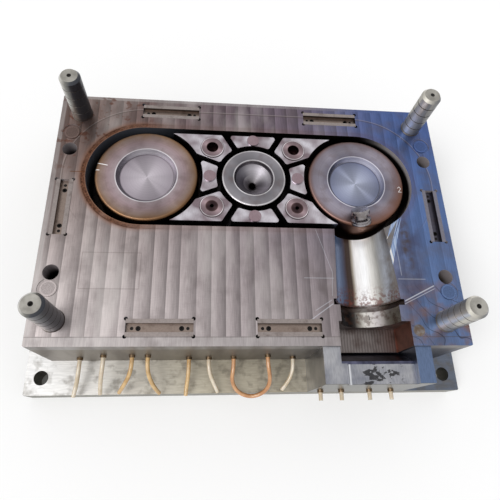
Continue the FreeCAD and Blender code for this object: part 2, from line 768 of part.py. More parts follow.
def make_turned_pin():
    """A spool-shaped pin: ringed base, narrow neck, bevelled head."""
    base = size("turned_pin_radius")
    neck = size("turned_neck_radius")
    head = size("turned_head_radius")
    groove = base - size("turned_groove_depth")
    tall = size("turned_pin_length")
    profile = [(0.0, 0.0), (base, 0.0), (base, tall * 0.10), (groove, tall * 0.14),
               (groove, tall * 0.18), (base, tall * 0.22), (base, tall * 0.30),
               (neck, tall * 0.38), (neck, tall * 0.66), (head, tall * 0.72), (head, tall * 0.92),
               (head - size("turned_head_bevel"), tall), (0.0, tall)]
    body = turned("turned_pin", profile)
    stand(body, size("turned_pin_x"), size("turned_pin_y"), parting, FreeCAD.Rotation(V(0, 0, 1), PIN_AXIS))


def make_gate_insert():
    """Centre insert with a funnel that runs down to the sprue."""
    height = size("cavity_depth")
    profile = [(size("gate_bore_radius"), 0.0), (size("gate_radius"), 0.0), (size("gate_radius"), height),
               (size("funnel_mouth_radius"), height),
               (size("funnel_shoulder_radius"), height - size("funnel_shoulder_depth")),
               (size("gate_bore_radius"), height - size("funnel_depth"))]
    body = turned("gate_insert", profile)
    dress(body, "Fillet", lambda e: is_circle_at(e, size("gate_radius"), height),
          size("gate_rim_round"), "gate_rim")
    stand(body, 0.0, line, cavity_floor)


def make_rib_block():
    """The block between the chambers: slots for the product's ribs leave eight islands on a base."""
    body = new_body("rib_block")
    height = size("cavity_depth") - size("rib_block_drop")
    half = size("rib_block_half_width")
    outline = new_sketch(body, "rib_block_outline")
    reach = chamber_x - size("rib_block_end_cut")
    draw_rectangle(outline, -reach, -half, reach, half)
    pad(body, outline, height, "rib_block_blank")
    drill(body, "chamber_rings", [(-chamber_x, 0.0), (chamber_x, 0.0)], size("cavity_radius"), lift=height)
    slot_depth = height - size("rib_base")
    drill(body, "gate_ring", [(0.0, 0.0)], size("rib_ring_radius"), slot_depth, height)
    long = size("chamber_spacing") / 2
    for name, angle, width in (("steep", size("rib_steep_angle"), size("rib_steep_width")),
                               ("shallow", size("rib_shallow_angle"), size("rib_shallow_width"))):
        for side in (-1, 1):
            turn = FreeCAD.Rotation(V(0, 0, 1), side * number(angle))
            label = "%s_slot_%s" % (name, "left" if side < 0 else "right")
            slot = new_sketch(body, label + "_outline", lift=height, turn=turn)
            draw_rectangle(slot, -long, -width / 2, long, width / 2)
            pocket(body, slot, slot_depth, name=label)
    dress(body, "Fillet", lambda e: is_upright(e, size("rib_base"), height), size("rib_corner_round"),
          "island_corners")
    drill(body, "gate_bore", [(0.0, 0.0)], size("gate_radius") + gap, lift=height)
    pins = [(x, y - line) for x, y in CORNERS]
    drill(body, "corner_pin_bores", pins, size("corner_pin_radius") + gap, lift=height)
    bosses = new_sketch(body, "boss_outlines", lift=size("rib_base"))
    for sx, sy in ((0, 1), (0, -1), (1, 0), (-1, 0)):
        draw_circle(bosses, sx * size("boss_side_reach"), sy * size("boss_reach"), size("boss_radius"))
    pad(body, bosses, slot_depth + size("boss_height"), "bosses")
    stand(body, 0.0, line, cavity_floor)


def make_corner_pins():
    """Round inserts in the corner islands: wide sockets at the back, small holes at the front."""
    radius = size("corner_pin_radius")
    height = size("cavity_depth") - size("rib_block_drop") + size("corner_pin_rise")
    bevel = size("corner_pin_bevel")
    for i, (x, y) in enumerate(CORNERS, start=1):
        at_back = number(y) > number(line)
        hole = size("corner_socket_radius") if at_back else size("corner_hole_radius")
        floor = height - size("corner_socket_depth")
        body = turned("corner_pin_%d" % i, [(0.0, 0.0), (radius, 0.0), (radius, height - bevel),
                                            (radius - bevel, height), (hole, height), (hole, floor),
                                            (0.0, floor)])
        stand(body, x, y, cavity_floor)


# ---------------------------------------------------------------- heel, wear plate, cheeks

def make_heel():
    """Heel block that wedges the slide home, between its two cheeks."""
    ledge = size("clamp_height")
    relief = size("hole_relief")
    body = new_body("heel_block")
    section = new_sketch(body, "heel_section", "YZ_Plane", lift=size("heel_left"))
    foot = size("wear_bottom")
    draw_polygon(section, [(-ledge_front, ledge), (-front, ledge), (-front, foot),
                           (wear_foot - wear_run, foot), (wear_head - wear_run, heel_top),
                           (-ledge_front, heel_top)])
    pad(body, section, heel_span, "heel_wedge")
    dress(body, "Chamfer", lambda e: e.BoundBox.XMax < number(size("heel_left")) + 0.01
          and e.BoundBox.ZMin > number(heel_top) - 0.01, size("heel_bevel"), "heel_edge")
    drill(body, "heel_screw_holes", CHEEK_SCREWS[4:], size("cheek_screw_diameter") / 2 + gap,
          size("cheek_screw_grip") + 2 * relief, ledge, upward=True)
    stubs = [(x, parting + z) for x, z in STUBS[1:]]
    drill(body, "heel_ports", stubs, size("nipple_thread_diameter") / 2 + gap,
          size("nipple_thread_length") + relief, ledge_front, role="XZ_Plane")

    plate = new_body("wear_plate")
    slant = new_sketch(plate, "wear_section", "YZ_Plane", lift=size("slide_left"))
    draw_polygon(slant, [(wear_foot, foot), (wear_head, heel_top), (wear_head - wear_run, heel_top),
                         (wear_foot - wear_run, foot)])
    pad(plate, slant, size("heel_right") - size("slide_left"), "wear_bar")


def make_cheeks():
    """Side cheeks: plain bars on the clamp plate, the left one stepped to meet the heel."""
    ledge = size("clamp_height")
    relief = size("hole_relief")
    tall = size("plate_height") - size("cheek_drop")
    step = wear_head - wear_run - 2 * gap
    left = new_body("left_cheek")
    outline = new_sketch(left, "left_cheek_outline", lift=ledge)
    draw_polygon(outline, [(size("cheek_left"), -ledge_front), (size("heel_left"), -ledge_front),
                           (size("heel_left"), step), (size("slide_left"), step),
                           (size("slide_left"), -front), (size("cheek_left"), -front)])
    pad(left, outline, tall, "left_cheek_bar")
    right = new_body("right_cheek")
    outline = new_sketch(right, "right_cheek_outline", lift=ledge)
    draw_rectangle(outline, size("heel_right"), -ledge_front, size("cheek_right"), -front)
    pad(right, outline, tall, "right_cheek_bar")
    for body, seats in ((left, CHEEK_SCREWS[:2]), (right, CHEEK_SCREWS[2:4])):
        drill(body, body.Label + "_screw_holes", seats, size("cheek_screw_diameter") / 2 + gap,
              size("cheek_screw_grip") + 2 * relief, ledge, upward=True)
    drill(left, "left_cheek_port", [(STUBS[0][0], parting + STUBS[0][1])],
          size("nipple_thread_diameter") / 2 + gap, size("nipple_thread_length") + relief,
          ledge_front, role="XZ_Plane")


# ---------------------------------------------------------------- sprue, ring, plug, screws

def make_sprue_parts():
    """Sprue bush under the gate insert, held by the flush locating ring."""
    ring = size("ring_thickness")
    mouth = size("bush_mouth_radius")
    seat = size("bush_seat_radius")
    bush = turned("sprue_bush", [(seat, 0.0), (size("bush_head_radius"), 0.0),
                                 (size("bush_head_radius"), size("bush_head_height")),
                                 (size("bush_radius"), size("bush_head_height")),
                                 (size("bush_radius"), cavity_floor - ring),
                                 (mouth, cavity_floor - ring), (mouth / 2, seat / 2)])
    stand(bush, 0.0, line, ring)
    body = turned("locating_ring", [(size("ring_bore_radius"), 0.0), (size("ring_radius"), 0.0),
                                    (size("ring_radius"), ring), (size("ring_bore_radius"), ring)])
    stand(body, 0.0, line, 0.0)
    thread = size("small_screw_diameter")
    sink = size("small_screw_sink")
    centres = [(x, y - line) for x, y in RING_SCREWS]
    drill(body, "ring_screw_clearance", centres, thread / 2 + gap, lift=ring)
    drill(body, "ring_screw_seats", centres, thread * 0.75 + gap, thread + sink, upward=True)
    length = ring - thread - sink + size("lock_screw_grip")
    screw_group("locating_ring_screws", cap_screw(thread, length),
                [(x, y, thread + sink) for x, y in RING_SCREWS])


def make_plug():
    """Plain round plug, a hair under flush."""
    deep = size("plug_depth")
    plug = turned("round_plug", [(0.0, 0.0), (size("plug_radius"), 0.0), (size("plug_radius"), deep - gap),
                                 (0.0, deep - gap)])
    stand(plug, size("plug_x"), size("plug_y"), parting - deep)


def make_plate_screws():
    """Cap screws from the underside: six for the cavity plate, six for heel and cheeks."""
    for label, seats, thread, grip in (
            ("plate_screws", PLATE_SCREWS, size("plate_screw_diameter"), size("plate_screw_grip")),
            ("cheek_screws", CHEEK_SCREWS, size("cheek_screw_diameter"), size("cheek_screw_grip"))):
        seat = thread + size("large_screw_sink")
        screw = cap_screw(thread, size("clamp_height") - seat + grip)
        screw_group(label, screw, [(x, y, seat) for x, y in seats])


# ---------------------------------------------------------------- cooling hoses

def hose_tube(points, radius):
    """A round tube along straight runs joined by the largest tangent arcs the runs allow."""
    corners = [V(x, y, z) for x, y, z in points]
    edges = []
    start = corners[0]
    radii = []
    for before, corner, after in zip(corners, corners[1:], corners[2:]):
        into = corner - before
        out = after - corner
        half_turn = into.getAngle(out) / 2
        trim = 0.45 * min(into.Length, out.Length)
        radii.append(trim / math.tan(half_turn))
        into.normalize()
        out.normalize()
        first = corner - into * trim
        last = corner + out * trim
        bow = (out - into).normalize() * (radii[-1] / math.cos(half_turn) - radii[-1])
        edges.append(Part.LineSegment(start, first).toShape())
        edges.append(Part.Arc(first, corner + bow, last).toShape())
        start = last
    edges.append(Part.LineSegment(start, corners[-1]).toShape())
    path = Part.Wire(edges)
    heading = corners[1] - corners[0]
    section = Part.Wire(Part.makeCircle(radius, corners[0], heading))
    tube = path.makePipeShell([section], True, False)
    expected = math.pi * radius ** 2 * path.Length
    if abs(tube.Volume / expected - 1) > 0.01:
        raise ValueError("hose volume is off")
    return tube, path.Length, min(radii)


def make_hoses():
    radius = SIZES["hose_diameter"] / 2
    shift = V(0, 0, number(parting))
    collar_end = number(front + size("nipple_collar_length"))
    for label, route in HOSES.items():
        points = [(x, y, z) for x, y, z in route]
        points[0] = (route[0][0], -collar_end, route[0][2])
        if label == "hose_loop":
            points[-1] = (route[-1][0], -collar_end, route[-1][2])
        tube, length, tightest = hose_tube(points, radius)
        tube.translate(shift)
        shape_node(label, tube)
        print("%s: length %.1f mm, tightest arc %.1f mm" % (label, length, tightest))


def make_nipples():
    """Screwed-in nipples: a collar outside, a plain thread stub inside."""
    collar = SIZES["nipple_collar_length"]
    thread = SIZES["nipple_thread_length"]
    body = Part.makeCylinder(SIZES["nipple_collar_diameter"] / 2, collar).fuse(
        Part.makeCylinder(SIZES["nipple_thread_diameter"] / 2, thread, V(0, 0, -thread))).removeSplitter()
    forward = FreeCAD.Rotation(V(0, 0, 1), V(0, -1, 0))
    seats = [(x, -front, parting + z) for x, z in port_places()]
    seats += [(x, -ledge_front, parting + z) for x, z in STUBS]
    screw_group("hose_nipples", body, seats, forward)
    stub = Part.makeCylinder(SIZES["hose_diameter"] / 2, SIZES["stub_length"])
    screw_group("hose_stubs", stub,
                [(x, -ledge_front - collar, parting + z) for x, z in STUBS], forward)


# ---------------------------------------------------------------- build, check, export

make_cavity_plate()
make_clamp_plate()
make_leader_pins()
make_stop_pads()
make_side_locks()
make_discs()
make_turned_pin()
make_gate_insert()
make_rib_block()
make_corner_pins()
make_heel()
make_cheeks()
make_sprue_parts()
make_plug()
make_plate_screws()
make_hoses()
make_nipples()
doc.recompute()

for thing in doc.Objects:
    if "Invalid" in thing.State or "Error" in thing.State:
        raise ValueError("%s failed" % thing.Name)
os.makedirs("parts", exist_ok=True)
for label, thing in nodes.items():
    shape = thing.Shape
    if shape.isNull() or not shape.isValid() or not shape.Solids:
        raise ValueError("%s has no valid solid" % label)
    shape.exportStep("parts/%s.step" % label)
    print("%-22s %2d solids  %10.0f mm3" % (label, len(shape.Solids), shape.Volume))
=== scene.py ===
# %% [markdown]
# # The fixed half of an injection mould
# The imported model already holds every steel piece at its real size. This notebook
# dresses a copy of each in its real finish, lays the cooling hoses as smooth splines,
# and sets the camera and the light. All lengths are metres.

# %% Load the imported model
import math

import bmesh
import bpy
import numpy as np
from mathutils import Matrix, Vector


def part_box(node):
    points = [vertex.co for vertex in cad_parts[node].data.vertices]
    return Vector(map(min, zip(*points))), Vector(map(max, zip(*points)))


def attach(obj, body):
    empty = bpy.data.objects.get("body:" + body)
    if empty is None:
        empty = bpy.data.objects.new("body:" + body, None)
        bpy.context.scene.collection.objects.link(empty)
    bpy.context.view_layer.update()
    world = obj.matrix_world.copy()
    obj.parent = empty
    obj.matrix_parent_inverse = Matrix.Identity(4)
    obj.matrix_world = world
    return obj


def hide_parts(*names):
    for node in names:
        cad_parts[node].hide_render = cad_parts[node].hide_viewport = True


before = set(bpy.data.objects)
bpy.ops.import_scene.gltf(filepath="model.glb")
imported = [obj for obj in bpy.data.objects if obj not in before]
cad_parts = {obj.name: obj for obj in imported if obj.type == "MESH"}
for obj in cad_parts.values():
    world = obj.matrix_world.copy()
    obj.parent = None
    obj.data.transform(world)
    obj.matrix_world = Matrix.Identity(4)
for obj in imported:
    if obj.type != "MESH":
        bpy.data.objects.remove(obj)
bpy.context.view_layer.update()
print("nodes:", len(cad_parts))

# %% [markdown]
# ## Places that many cells share
# A node's box gives its size and place, so the scene follows the model when a size
# changes. The parting face is the milled top that meets the other half of the mould.
# The cavity is a stadium, two half rounds on one line, and a half-round trough for the
# fitting's pipe runs from it to the slide pocket at the front.

# %% Key levels and centres
MM = 0.001


def centre_of(node):
    """The middle of a node's box."""
    low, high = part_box(node)
    return (low + high) / 2


plate_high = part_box("cavity_plate")[1]
PARTING = plate_high.z
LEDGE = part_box("clamp_plate")[1].z
LINE = centre_of("gate_insert").y
CAVITY_END = 223 * MM
CAVITY_RADIUS = 112.5 * MM
TROUGH_X = 212 * MM
RIM_Y = -177 * MM
SLIDE_Y = -219.5 * MM
SLIDE_FLOOR = PARTING - 75 * MM
print("parting face at", round(PARTING, 4), "cavity line at", round(LINE, 4))

# %% [markdown]
# ## Camera
# The camera looks down on the mould from the front left, nearly 0.8 m above the parting
# face. A short lens gives the strong perspective, in which the leader pins lean
# outwards. Its turn is three plain rotations, about Y, X and then Z.

# %% Make the camera
EYE = Vector((-96.2 * MM, -405.9 * MM, PARTING + 790.3 * MM))
PITCH, ROLL, YAW = 0.387, -0.106, 0.019
LENS_MM, SENSOR_MM = 32.28, 36

camera_data = bpy.data.cameras.new("camera")
camera_data.lens = LENS_MM
camera_data.sensor_width = SENSOR_MM
camera_data.clip_start = 10 * MM
camera = bpy.data.objects.new("camera", camera_data)
bpy.context.scene.collection.objects.link(camera)
turn = Matrix.Rotation(YAW, 4, "Z") @ Matrix.Rotation(PITCH, 4, "X") @ Matrix.Rotation(ROLL, 4, "Y")
camera.matrix_world = Matrix.Translation(EYE) @ turn
bpy.context.scene.camera = camera
bpy.context.scene.view_settings.view_transform = "Standard"
print("camera at", [round(v, 3) for v in EYE], "with a", LENS_MM, "mm lens")

# %% [markdown]
# ## Materials: one helper for nodes
# Every finish here is a small graph of shader nodes. One function adds a node, sets
# its properties and input values, and links what is given as a socket. Colours are
# written as sRGB hex, as a paint chart gives them, and one function makes them linear.

# %% Node and colour helpers
def linear(hex_colour):
    """An sRGB hex colour as linear RGBA: c/12.92 below 0.04045, else ((c+0.055)/1.055)^2.4."""
    parts = [int(hex_colour[i:i + 2], 16) / 255 for i in (0, 2, 4)]
    return tuple(c / 12.92 if c <= 0.04045 else ((c + 0.055) / 1.055) ** 2.4 for c in parts) + (1.0,)


def grey(level):
    """A plain linear grey, to multiply a colour by."""
    return (level, level, level, 1.0)


def add(tree, kind, inputs=None, stops=None, **settings):
    """Add one shader node with its settings, its input values or links, and a ramp's stops.

    A text is an sRGB hex colour, and a ramp's stop may be a hex colour or a grey's level.
    """
    made = tree.nodes.new("ShaderNode" + kind)
    for key, value in settings.items():
        setattr(made, key, value)
    for key, value in (inputs or {}).items():
        socket = made.inputs[key]
        if isinstance(value, bpy.types.NodeSocket):
            tree.links.new(value, socket)
        else:
            socket.default_value = linear(value) if isinstance(value, str) else value
    if stops:
        ramp = made.color_ramp
        while len(ramp.elements) < len(stops):
            ramp.elements.new(0.5)
        for element, (at, colour) in zip(ramp.elements, stops):
            element.position = at
            element.color = linear(colour) if isinstance(colour, str) else grey(colour)
    return made


def begin(name, metallic=1.0, roughness=0.4):
    """A new material: its tree, its Principled shader and the object coordinates."""
    material = bpy.data.materials.new(name)
    material.use_nodes = True
    tree = material.node_tree
    shader = tree.nodes["Principled BSDF"]
    shader.inputs["Metallic"].default_value = metallic
    shader.inputs["Roughness"].default_value = roughness
    return material, tree, shader, add(tree, "TexCoord").outputs["Object"]


print("middle grey 808080 is", round(linear("808080")[0], 3), "in linear light")

# %% [markdown]
# ## Masks and layers
# A finish grows like real wear does: a clean colour first, then each mark laid over it
# where it belongs. Where a mark belongs is a mask of 0 to 1, from a place's own
# coordinates or from noise, and masks are multiplied where several must hold. In the
# finishes below, band is told the limits of x, y or z in metres and how wide its soft
# edge is, and blotches the size of a patch and how much of the noise shows.

# %% Helpers that lay one mark over another
def both(tree, *masks):
    """One mask where all the masks are: their product."""
    result = masks[0]
    for mask in masks[1:]:
        result = add(tree, "Math", {0: result, 1: mask}, operation="MULTIPLY").outputs[0]
    return result


def band(tree, value, low, high, soft):
    """A mask: 1 where low < value < high, with smooth edges of width soft. None leaves a side open."""
    masks = []
    for edge, start, end in ((low, 0.0, 1.0), (high, 1.0, 0.0)):
        if edge is not None:
            masks.append(add(tree, "MapRange", {"Value": value, "From Min": edge - soft / 2,
                                                "From Max": edge + soft / 2, "To Min": start,
                                                "To Max": end}, interpolation_type="SMOOTHSTEP").outputs[0])
    return both(tree, *masks)


def blotches(tree, place, size, low, high, detail=3.0, stretch=(1, 1, 1)):
    """Patches of about one size in metres: a noise of which low..high becomes 0..1."""
    vector = add(tree, "Mapping", {"Vector": place, "Scale": stretch}).outputs[0]
    noise = add(tree, "TexNoise", {"Vector": vector, "Scale": 1 / size, "Detail": detail}).outputs[0]
    return add(tree, "MapRange", {"Value": noise, "From Min": low, "From Max": high}).outputs[0]


def lay(tree, under, over, strength, *masks, blend="MIX"):
    """Lay a colour over another at a strength, only where every mask is."""
    return add(tree, "Mix", {0: both(tree, strength, *masks), 6: under, 7: over}, data_type="RGBA",
               blend_type=blend).outputs[2]


def marked(tree, colour, pattern, dark, light, strength, *masks):
    """Fine marks: a colour times a grey that runs from dark to light with a pattern."""
    return lay(tree, colour, lay(tree, grey(dark), grey(light), pattern), strength, *masks, blend="MULTIPLY")


def brushed(tree, colour, place, size, stretch, dark, light, strength):
    """Fine marks of about one size, drawn out one way by a stretch below 1."""
    return marked(tree, colour, blotches(tree, place, size, 0.3, 0.7, 2.0, stretch), dark, light, strength)


print("layer helpers are ready")

# %% [markdown]
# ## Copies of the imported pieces
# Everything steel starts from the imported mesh. That mesh is loose triangles, so a copy
# of it is merged, shaded smooth between its sharp edges and may get a fine bevel,
# because no real steel edge is perfectly sharp. The copy then stands for its node.

# %% Mesh helpers
MERGE = 0.01 * MM
SLIVER = 0.005 * MM
SQUARE = 0.99999
SHARP = math.radians(13)
BEVEL_FROM = math.radians(40)


def merge_and_shade(mesh):
    """Merge doubles, then shade curved faces smooth up to a sharp angle and square ones flat.

    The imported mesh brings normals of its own, which no longer fit once its corners are merged.
    """
    if "custom_normal" in mesh.attributes:
        mesh.attributes.remove(mesh.attributes["custom_normal"])
    work = bmesh.new()
    work.from_mesh(mesh)
    bmesh.ops.remove_doubles(work, verts=work.verts, dist=MERGE)
    bmesh.ops.dissolve_degenerate(work, edges=work.edges, dist=SLIVER)
    work.to_mesh(mesh)
    work.free()
    normals = np.empty(len(mesh.polygons) * 3)
    mesh.polygons.foreach_get("normal", normals)
    curved = np.abs(normals.reshape(-1, 3)).max(axis=1) < SQUARE
    mesh.polygons.foreach_set("use_smooth", curved)
    mesh.set_sharp_from_angle(angle=SHARP)


def dressed_copy(node, slot, *materials, bevel=0.0):
    """A merged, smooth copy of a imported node, with an optional fine bevel, that replaces it."""
    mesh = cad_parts[node].data.copy()
    mesh.name = node + "_dressed"
    merge_and_shade(mesh)
    if bevel:
        work = bmesh.new()
        work.from_mesh(mesh)
        bmesh.ops.dissolve_limit(work, angle_limit=math.radians(1), verts=work.verts, edges=work.edges)
        work.to_mesh(mesh)
        work.free()
    piece = bpy.data.objects.new(node + "_dressed", mesh)
    bpy.context.scene.collection.objects.link(piece)
    mesh.materials.clear()
    for material in materials:
        mesh.materials.append(material)
    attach(piece, "root")
    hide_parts(node)
    if bevel:
        rounding = piece.modifiers.new("fine_bevel", "BEVEL")
        rounding.width = bevel
        rounding.segments = 2
        rounding.limit_method = "ANGLE"
        rounding.angle_limit = BEVEL_FROM
        rounding.harden_normals = True
    return piece


print("corners nearer than", MERGE / MM, "mm are merged")

# %% [markdown]
# ## Light, background and floor
# The mould stands on a white floor under an even white sky, and a soft sun from the
# front left gives the pins their shadows. The world is brighter to the camera and to
# mirrors than to the floor and the walls, so white stays white behind the object and a
# steel's colour renders as written.

# %% World, sun and floor
SKY_LEVEL = 0.62
SUN_STRENGTH = 1.7
SUN_FROM = Vector((-0.55, -0.35, 1.0))
SUN_ANGLE = math.radians(35)
FLOOR_REACH = 4.0
FLOOR_LEVEL = 0.95

world = bpy.data.worlds.new("white_workshop")
bpy.context.scene.world = world
world.use_nodes = True
sky = world.node_tree
sky.nodes.clear()
rays = add(sky, "LightPath").outputs
seen = rays["Is Camera Ray"]
for other in ("Is Glossy Ray", "Is Transmission Ray"):
    seen = add(sky, "Math", {0: seen, 1: rays[other]}, operation="MAXIMUM").outputs[0]
lighting = add(sky, "Background", {"Color": grey(1.0), "Strength": SKY_LEVEL}).outputs[0]
backdrop = add(sky, "Background", {"Color": grey(1.0), "Strength": 1.0}).outputs[0]
shown = add(sky, "MixShader", {0: seen, 1: lighting, 2: backdrop}).outputs[0]
add(sky, "OutputWorld", {"Surface": shown})

sun_data = bpy.data.lights.new("sun", "SUN")
sun_data.energy = SUN_STRENGTH
sun_data.angle = SUN_ANGLE
sun = bpy.data.objects.new("sun", sun_data)
sun.rotation_euler = SUN_FROM.to_track_quat("Z", "Y").to_euler()
bpy.context.scene.collection.objects.link(sun)

floor_mesh = bpy.data.meshes.new("floor")
corners = [(x * FLOOR_REACH, y * FLOOR_REACH, 0) for x, y in ((-1, -1), (1, -1), (1, 1), (-1, 1))]
floor_mesh.from_pydata(corners, [], [(0, 1, 2, 3)])
floor_piece = bpy.data.objects.new("floor", floor_mesh)
bpy.context.scene.collection.objects.link(floor_piece)
floor_paint, _, floor_shader, _ = begin("white_floor_paint", 0.0, 0.9)
floor_shader.inputs["Base Color"].default_value = grey(FLOOR_LEVEL)
floor_shader.inputs["Specular IOR Level"].default_value = 0.0
floor_mesh.materials.append(floor_paint)
print("sky", SKY_LEVEL, "and sun", SUN_STRENGTH, "are set")

# %% [markdown]
# ## Cooling hoses
# Short cut lengths of soft tube stand on brass nipples in the front face. Each is a
# curve along the same route that the imported model has. The loop joins two ports of
# one water circuit.

# %% Hose routes: x, y and height above the parting face, millimetres
HOSE_DIAMETER = 8 * MM
ROUTES = {
    "hose_1": [(-334, -270, -119), (-334, -280, -119), (-335, -295, -122),
               (-337, -309, -128), (-340, -322, -134), (-343, -336, -138)],
    "hose_2": [(-284, -270, -89), (-284, -280, -89), (-285, -294, -92), (-287, -306, -99),
               (-289, -316, -110), (-291, -324, -123), (-293, -330, -137)],
    "hose_3": [(-231, -270, -90), (-231, -280, -90), (-232.5, -293, -92.5), (-237, -305, -99.5),
               (-244, -315, -109.5), (-251, -323, -121.5), (-257, -329, -134)],
    "hose_4": [(-202, -270, -92), (-202, -280, -92), (-201, -293, -94.5), (-198, -305, -101),
               (-193, -316, -110.5), (-187, -325, -122), (-181, -331, -135)],
    "hose_5": [(-125, -270, -119), (-125, -280, -119), (-125.5, -295, -122),
               (-127, -309, -128), (-129, -322, -134), (-130, -336, -138)],
    "hose_6": [(-86, -270, -121), (-86, -280, -121), (-84, -294, -124),
               (-79, -307, -129), (-73, -319, -134.5), (-67, -331, -138)],
    "hose_7": [(83, -270, -119), (83, -280, -119), (81, -294, -122),
               (76, -307, -127.5), (68.5, -318, -133), (60, -328, -137)],
    "hose_loop": [(-37, -270, -114), (-37, -280, -114), (-38.5, -294, -117), (-40, -307, -124),
                  (-36.5, -319, -132.5), (-27.5, -330, -140), (-13, -337, -144.5),
                  (3, -339, -144), (18.5, -335, -138.5), (29.5, -327, -128), (34, -316, -115.5),
                  (33, -304, -104), (30.5, -292, -96.5), (29, -280, -94), (29, -270, -94)],
}
HOSE_SLOTS = {"hose_loop": "hose_orange", "hose_3": "hose_amber", "hose_4": "hose_amber",
              "hose_5": "hose_amber"}
print("hose routes:", len(ROUTES))

# %% [markdown]
# ### Soft tube
# The tubes are plasticised PVC or polyurethane that has yellowed in warm water. Such a
# plastic is milky: it lets light in a little way, so it gets some subsurface scatter, a
# thin gloss, and a deeper tone on the rim, where one looks through more of the wall.

# %% The tube's finish, and the hoses
def hose_tube(name, body, shade):
    """Soft plastic tube, a little see-through: a milky skin with a warm tone inside it."""
    material, tree, shader, place = begin(name, 0.0, 0.22)
    cloudy = blotches(tree, place, 20 * MM, 0.35, 0.65)
    rim = add(tree, "LayerWeight", {"Blend": 0.35}).outputs["Facing"]
    colour = lay(tree, body, shade, 0.6, cloudy)
    colour = lay(tree, colour, shade, 0.9, rim)
    tree.links.new(colour, shader.inputs["Base Color"])
    shader.inputs["Subsurface Weight"].default_value = 0.3
    shader.inputs["Subsurface Radius"].default_value = (4 * MM, 3 * MM, 2 * MM)
    shader.inputs["Coat Weight"].default_value = 0.4
    return material


hose_finishes = {"hose_cream": hose_tube("cream_soft_tube", "e6dcca", "b39b74"),
                 "hose_amber": hose_tube("amber_soft_tube", "e0c08c", "a57a3c"),
                 "hose_orange": hose_tube("orange_soft_tube", "d8a87a", "a0622f")}

for name, route in ROUTES.items():
    shape = bpy.data.curves.new(name + "_run", "CURVE")
    shape.dimensions = "3D"
    spline = shape.splines.new("NURBS")
    spline.points.add(len(route) - 1)
    for point, (x, y, z) in zip(spline.points, route):
        point.co = (x * MM, y * MM, PARTING + z * MM, 1)
        point.radius = HOSE_DIAMETER / 2
    spline.order_u = 3
    spline.use_endpoint_u = True
    shape.bevel_depth = 1.0
    shape.bevel_resolution = 6
    shape.use_fill_caps = True
    shape.resolution_u = 10
    hose = bpy.data.objects.new(name + "_run", shape)
    bpy.context.scene.collection.objects.link(hose)
    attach(hose, "root")
    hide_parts(name)
    slot = HOSE_SLOTS.get(name, "hose_cream")
    shape.materials.append(hose_finishes[slot])
print("hoses:", len(ROUTES))

# %% [markdown]
# ## Where a place lies
# Marks on this mould follow its shapes: rust creeps round the cavity's outline, rings
# run round a disc, a scratch runs between two points. Each is a distance in object
# coordinates, worked out by a few vector nodes, so no mark needs a UV map.

# %% Distances that the finishes are drawn by
def beyond(tree, place, centre, half):
    """How far a place lies past a half size on each axis: |place - centre| - half."""
    for operation, by in (("SUBTRACT", centre), ("ABSOLUTE", (0, 0, 0)), ("SUBTRACT", half)):
        place = add(tree, "VectorMath", {0: place, 1: by}, operation=operation).outputs[0]
    return place


def from_above(tree, offset):
    """An offset seen from above, without its height, and its length."""
    flat = add(tree, "VectorMath", {0: offset, 1: (1, 1, 0)}, operation="MULTIPLY").outputs[0]
    return flat, add(tree, "VectorMath", {0: flat}, operation="LENGTH").outputs["Value"]


def cavity_distance(tree, place):
    """How far a place lies outside the cavity's outline: |(max(|x| - end, 0), y - line)| - radius."""
    past = beyond(tree, place, (0, LINE, 0), (CAVITY_END, 0, 0))
    past = add(tree, "VectorMath", {0: past, 1: (0, 0, 0)}, operation="MAXIMUM").outputs[0]
    length = from_above(tree, past)[1]
    return add(tree, "Math", {0: length, 1: CAVITY_RADIUS}, operation="SUBTRACT").outputs[0]


def scribe(tree, place, start, end, width):
    """A mask on a straight scratch: the products of a place with its direction and across it."""
    run = Vector(end) - Vector(start)
    way = run.normalized()
    offset = add(tree, "VectorMath", {0: place, 1: (*start, 0)}, operation="SUBTRACT").outputs[0]
    along, off = (add(tree, "VectorMath", {0: offset, 1: axis}, operation="DOT_PRODUCT").outputs["Value"]
                  for axis in ((way.x, way.y, 0), (-way.y, way.x, 0)))
    return both(tree, band(tree, off, -width / 2, width / 2, width * 0.6),
                band(tree, along, 0.0, run.length, 3 * MM))


print("the cavity is", round(2 * (CAVITY_END + CAVITY_RADIUS), 3), "long")

# %% [markdown]
# ## The parting face
# The plate is one block of tool steel, face-milled, which gives it a cool bright metal
# that mirrors the room. Old coolant has coloured it warm grey at the left, where it has
# yellowed. The blue at the right is a painted reflection of the sky. The tone is a blend
# of four colours, left and right, front and back, with a soft edge of many centimetres.

# %% The steel's colour and its painted sky
def plate_tone_and_sky(tree, x, y):
    """The steel's colour over the parting face: warm grey at the left, and blue at the right, a painted sky
    reflection.
    """
    front = lay(tree, "afa6a5", "7f7679", band(tree, x, -0.05, None, 0.70))
    # painted sky reflection: the blue towards the right, at the front and at the back
    front = lay(tree, front, "5c6f94", band(tree, x, 0.27, None, 0.12))
    back = lay(tree, "6c5b56", "6a5f6b", band(tree, x, -0.10, None, 0.50))
    back = lay(tree, back, "4d6090", band(tree, x, 0.20, None, 0.26))
    back = lay(tree, back, "5670a0", 0.6, band(tree, x, 0.29, None, 0.14), band(tree, y, None, 0.12, 0.20))
    return lay(tree, front, back, band(tree, y, -0.03, None, 0.42))


print("four tones over", round(2 * plate_high.x, 3), "of plate")

# %% [markdown]
# ### Feed stripes
# A wide facing cutter leaves stripes of light and shade one feed apart, as each pass
# tilts a trace against the last. They could be real steps, but those are hundredths of
# a millimetre, so the shader draws them: the place across one pass picks a grey.

# %% Stripes of the facing cutter
FEED = 27 * MM
ONE_PASS = [(0.0, 0.60), (0.025, 1.36), (0.10, 1.26), (0.36, 1.12), (0.55, 0.90), (0.76, 0.78),
            (0.96, 0.58), (1.0, 0.60)]
CUT_X = (-391 * MM, 393 * MM)
CUT_Y = (-248 * MM, 258 * MM)
CUT_STEP = (-249.5 * MM, -248 * MM)


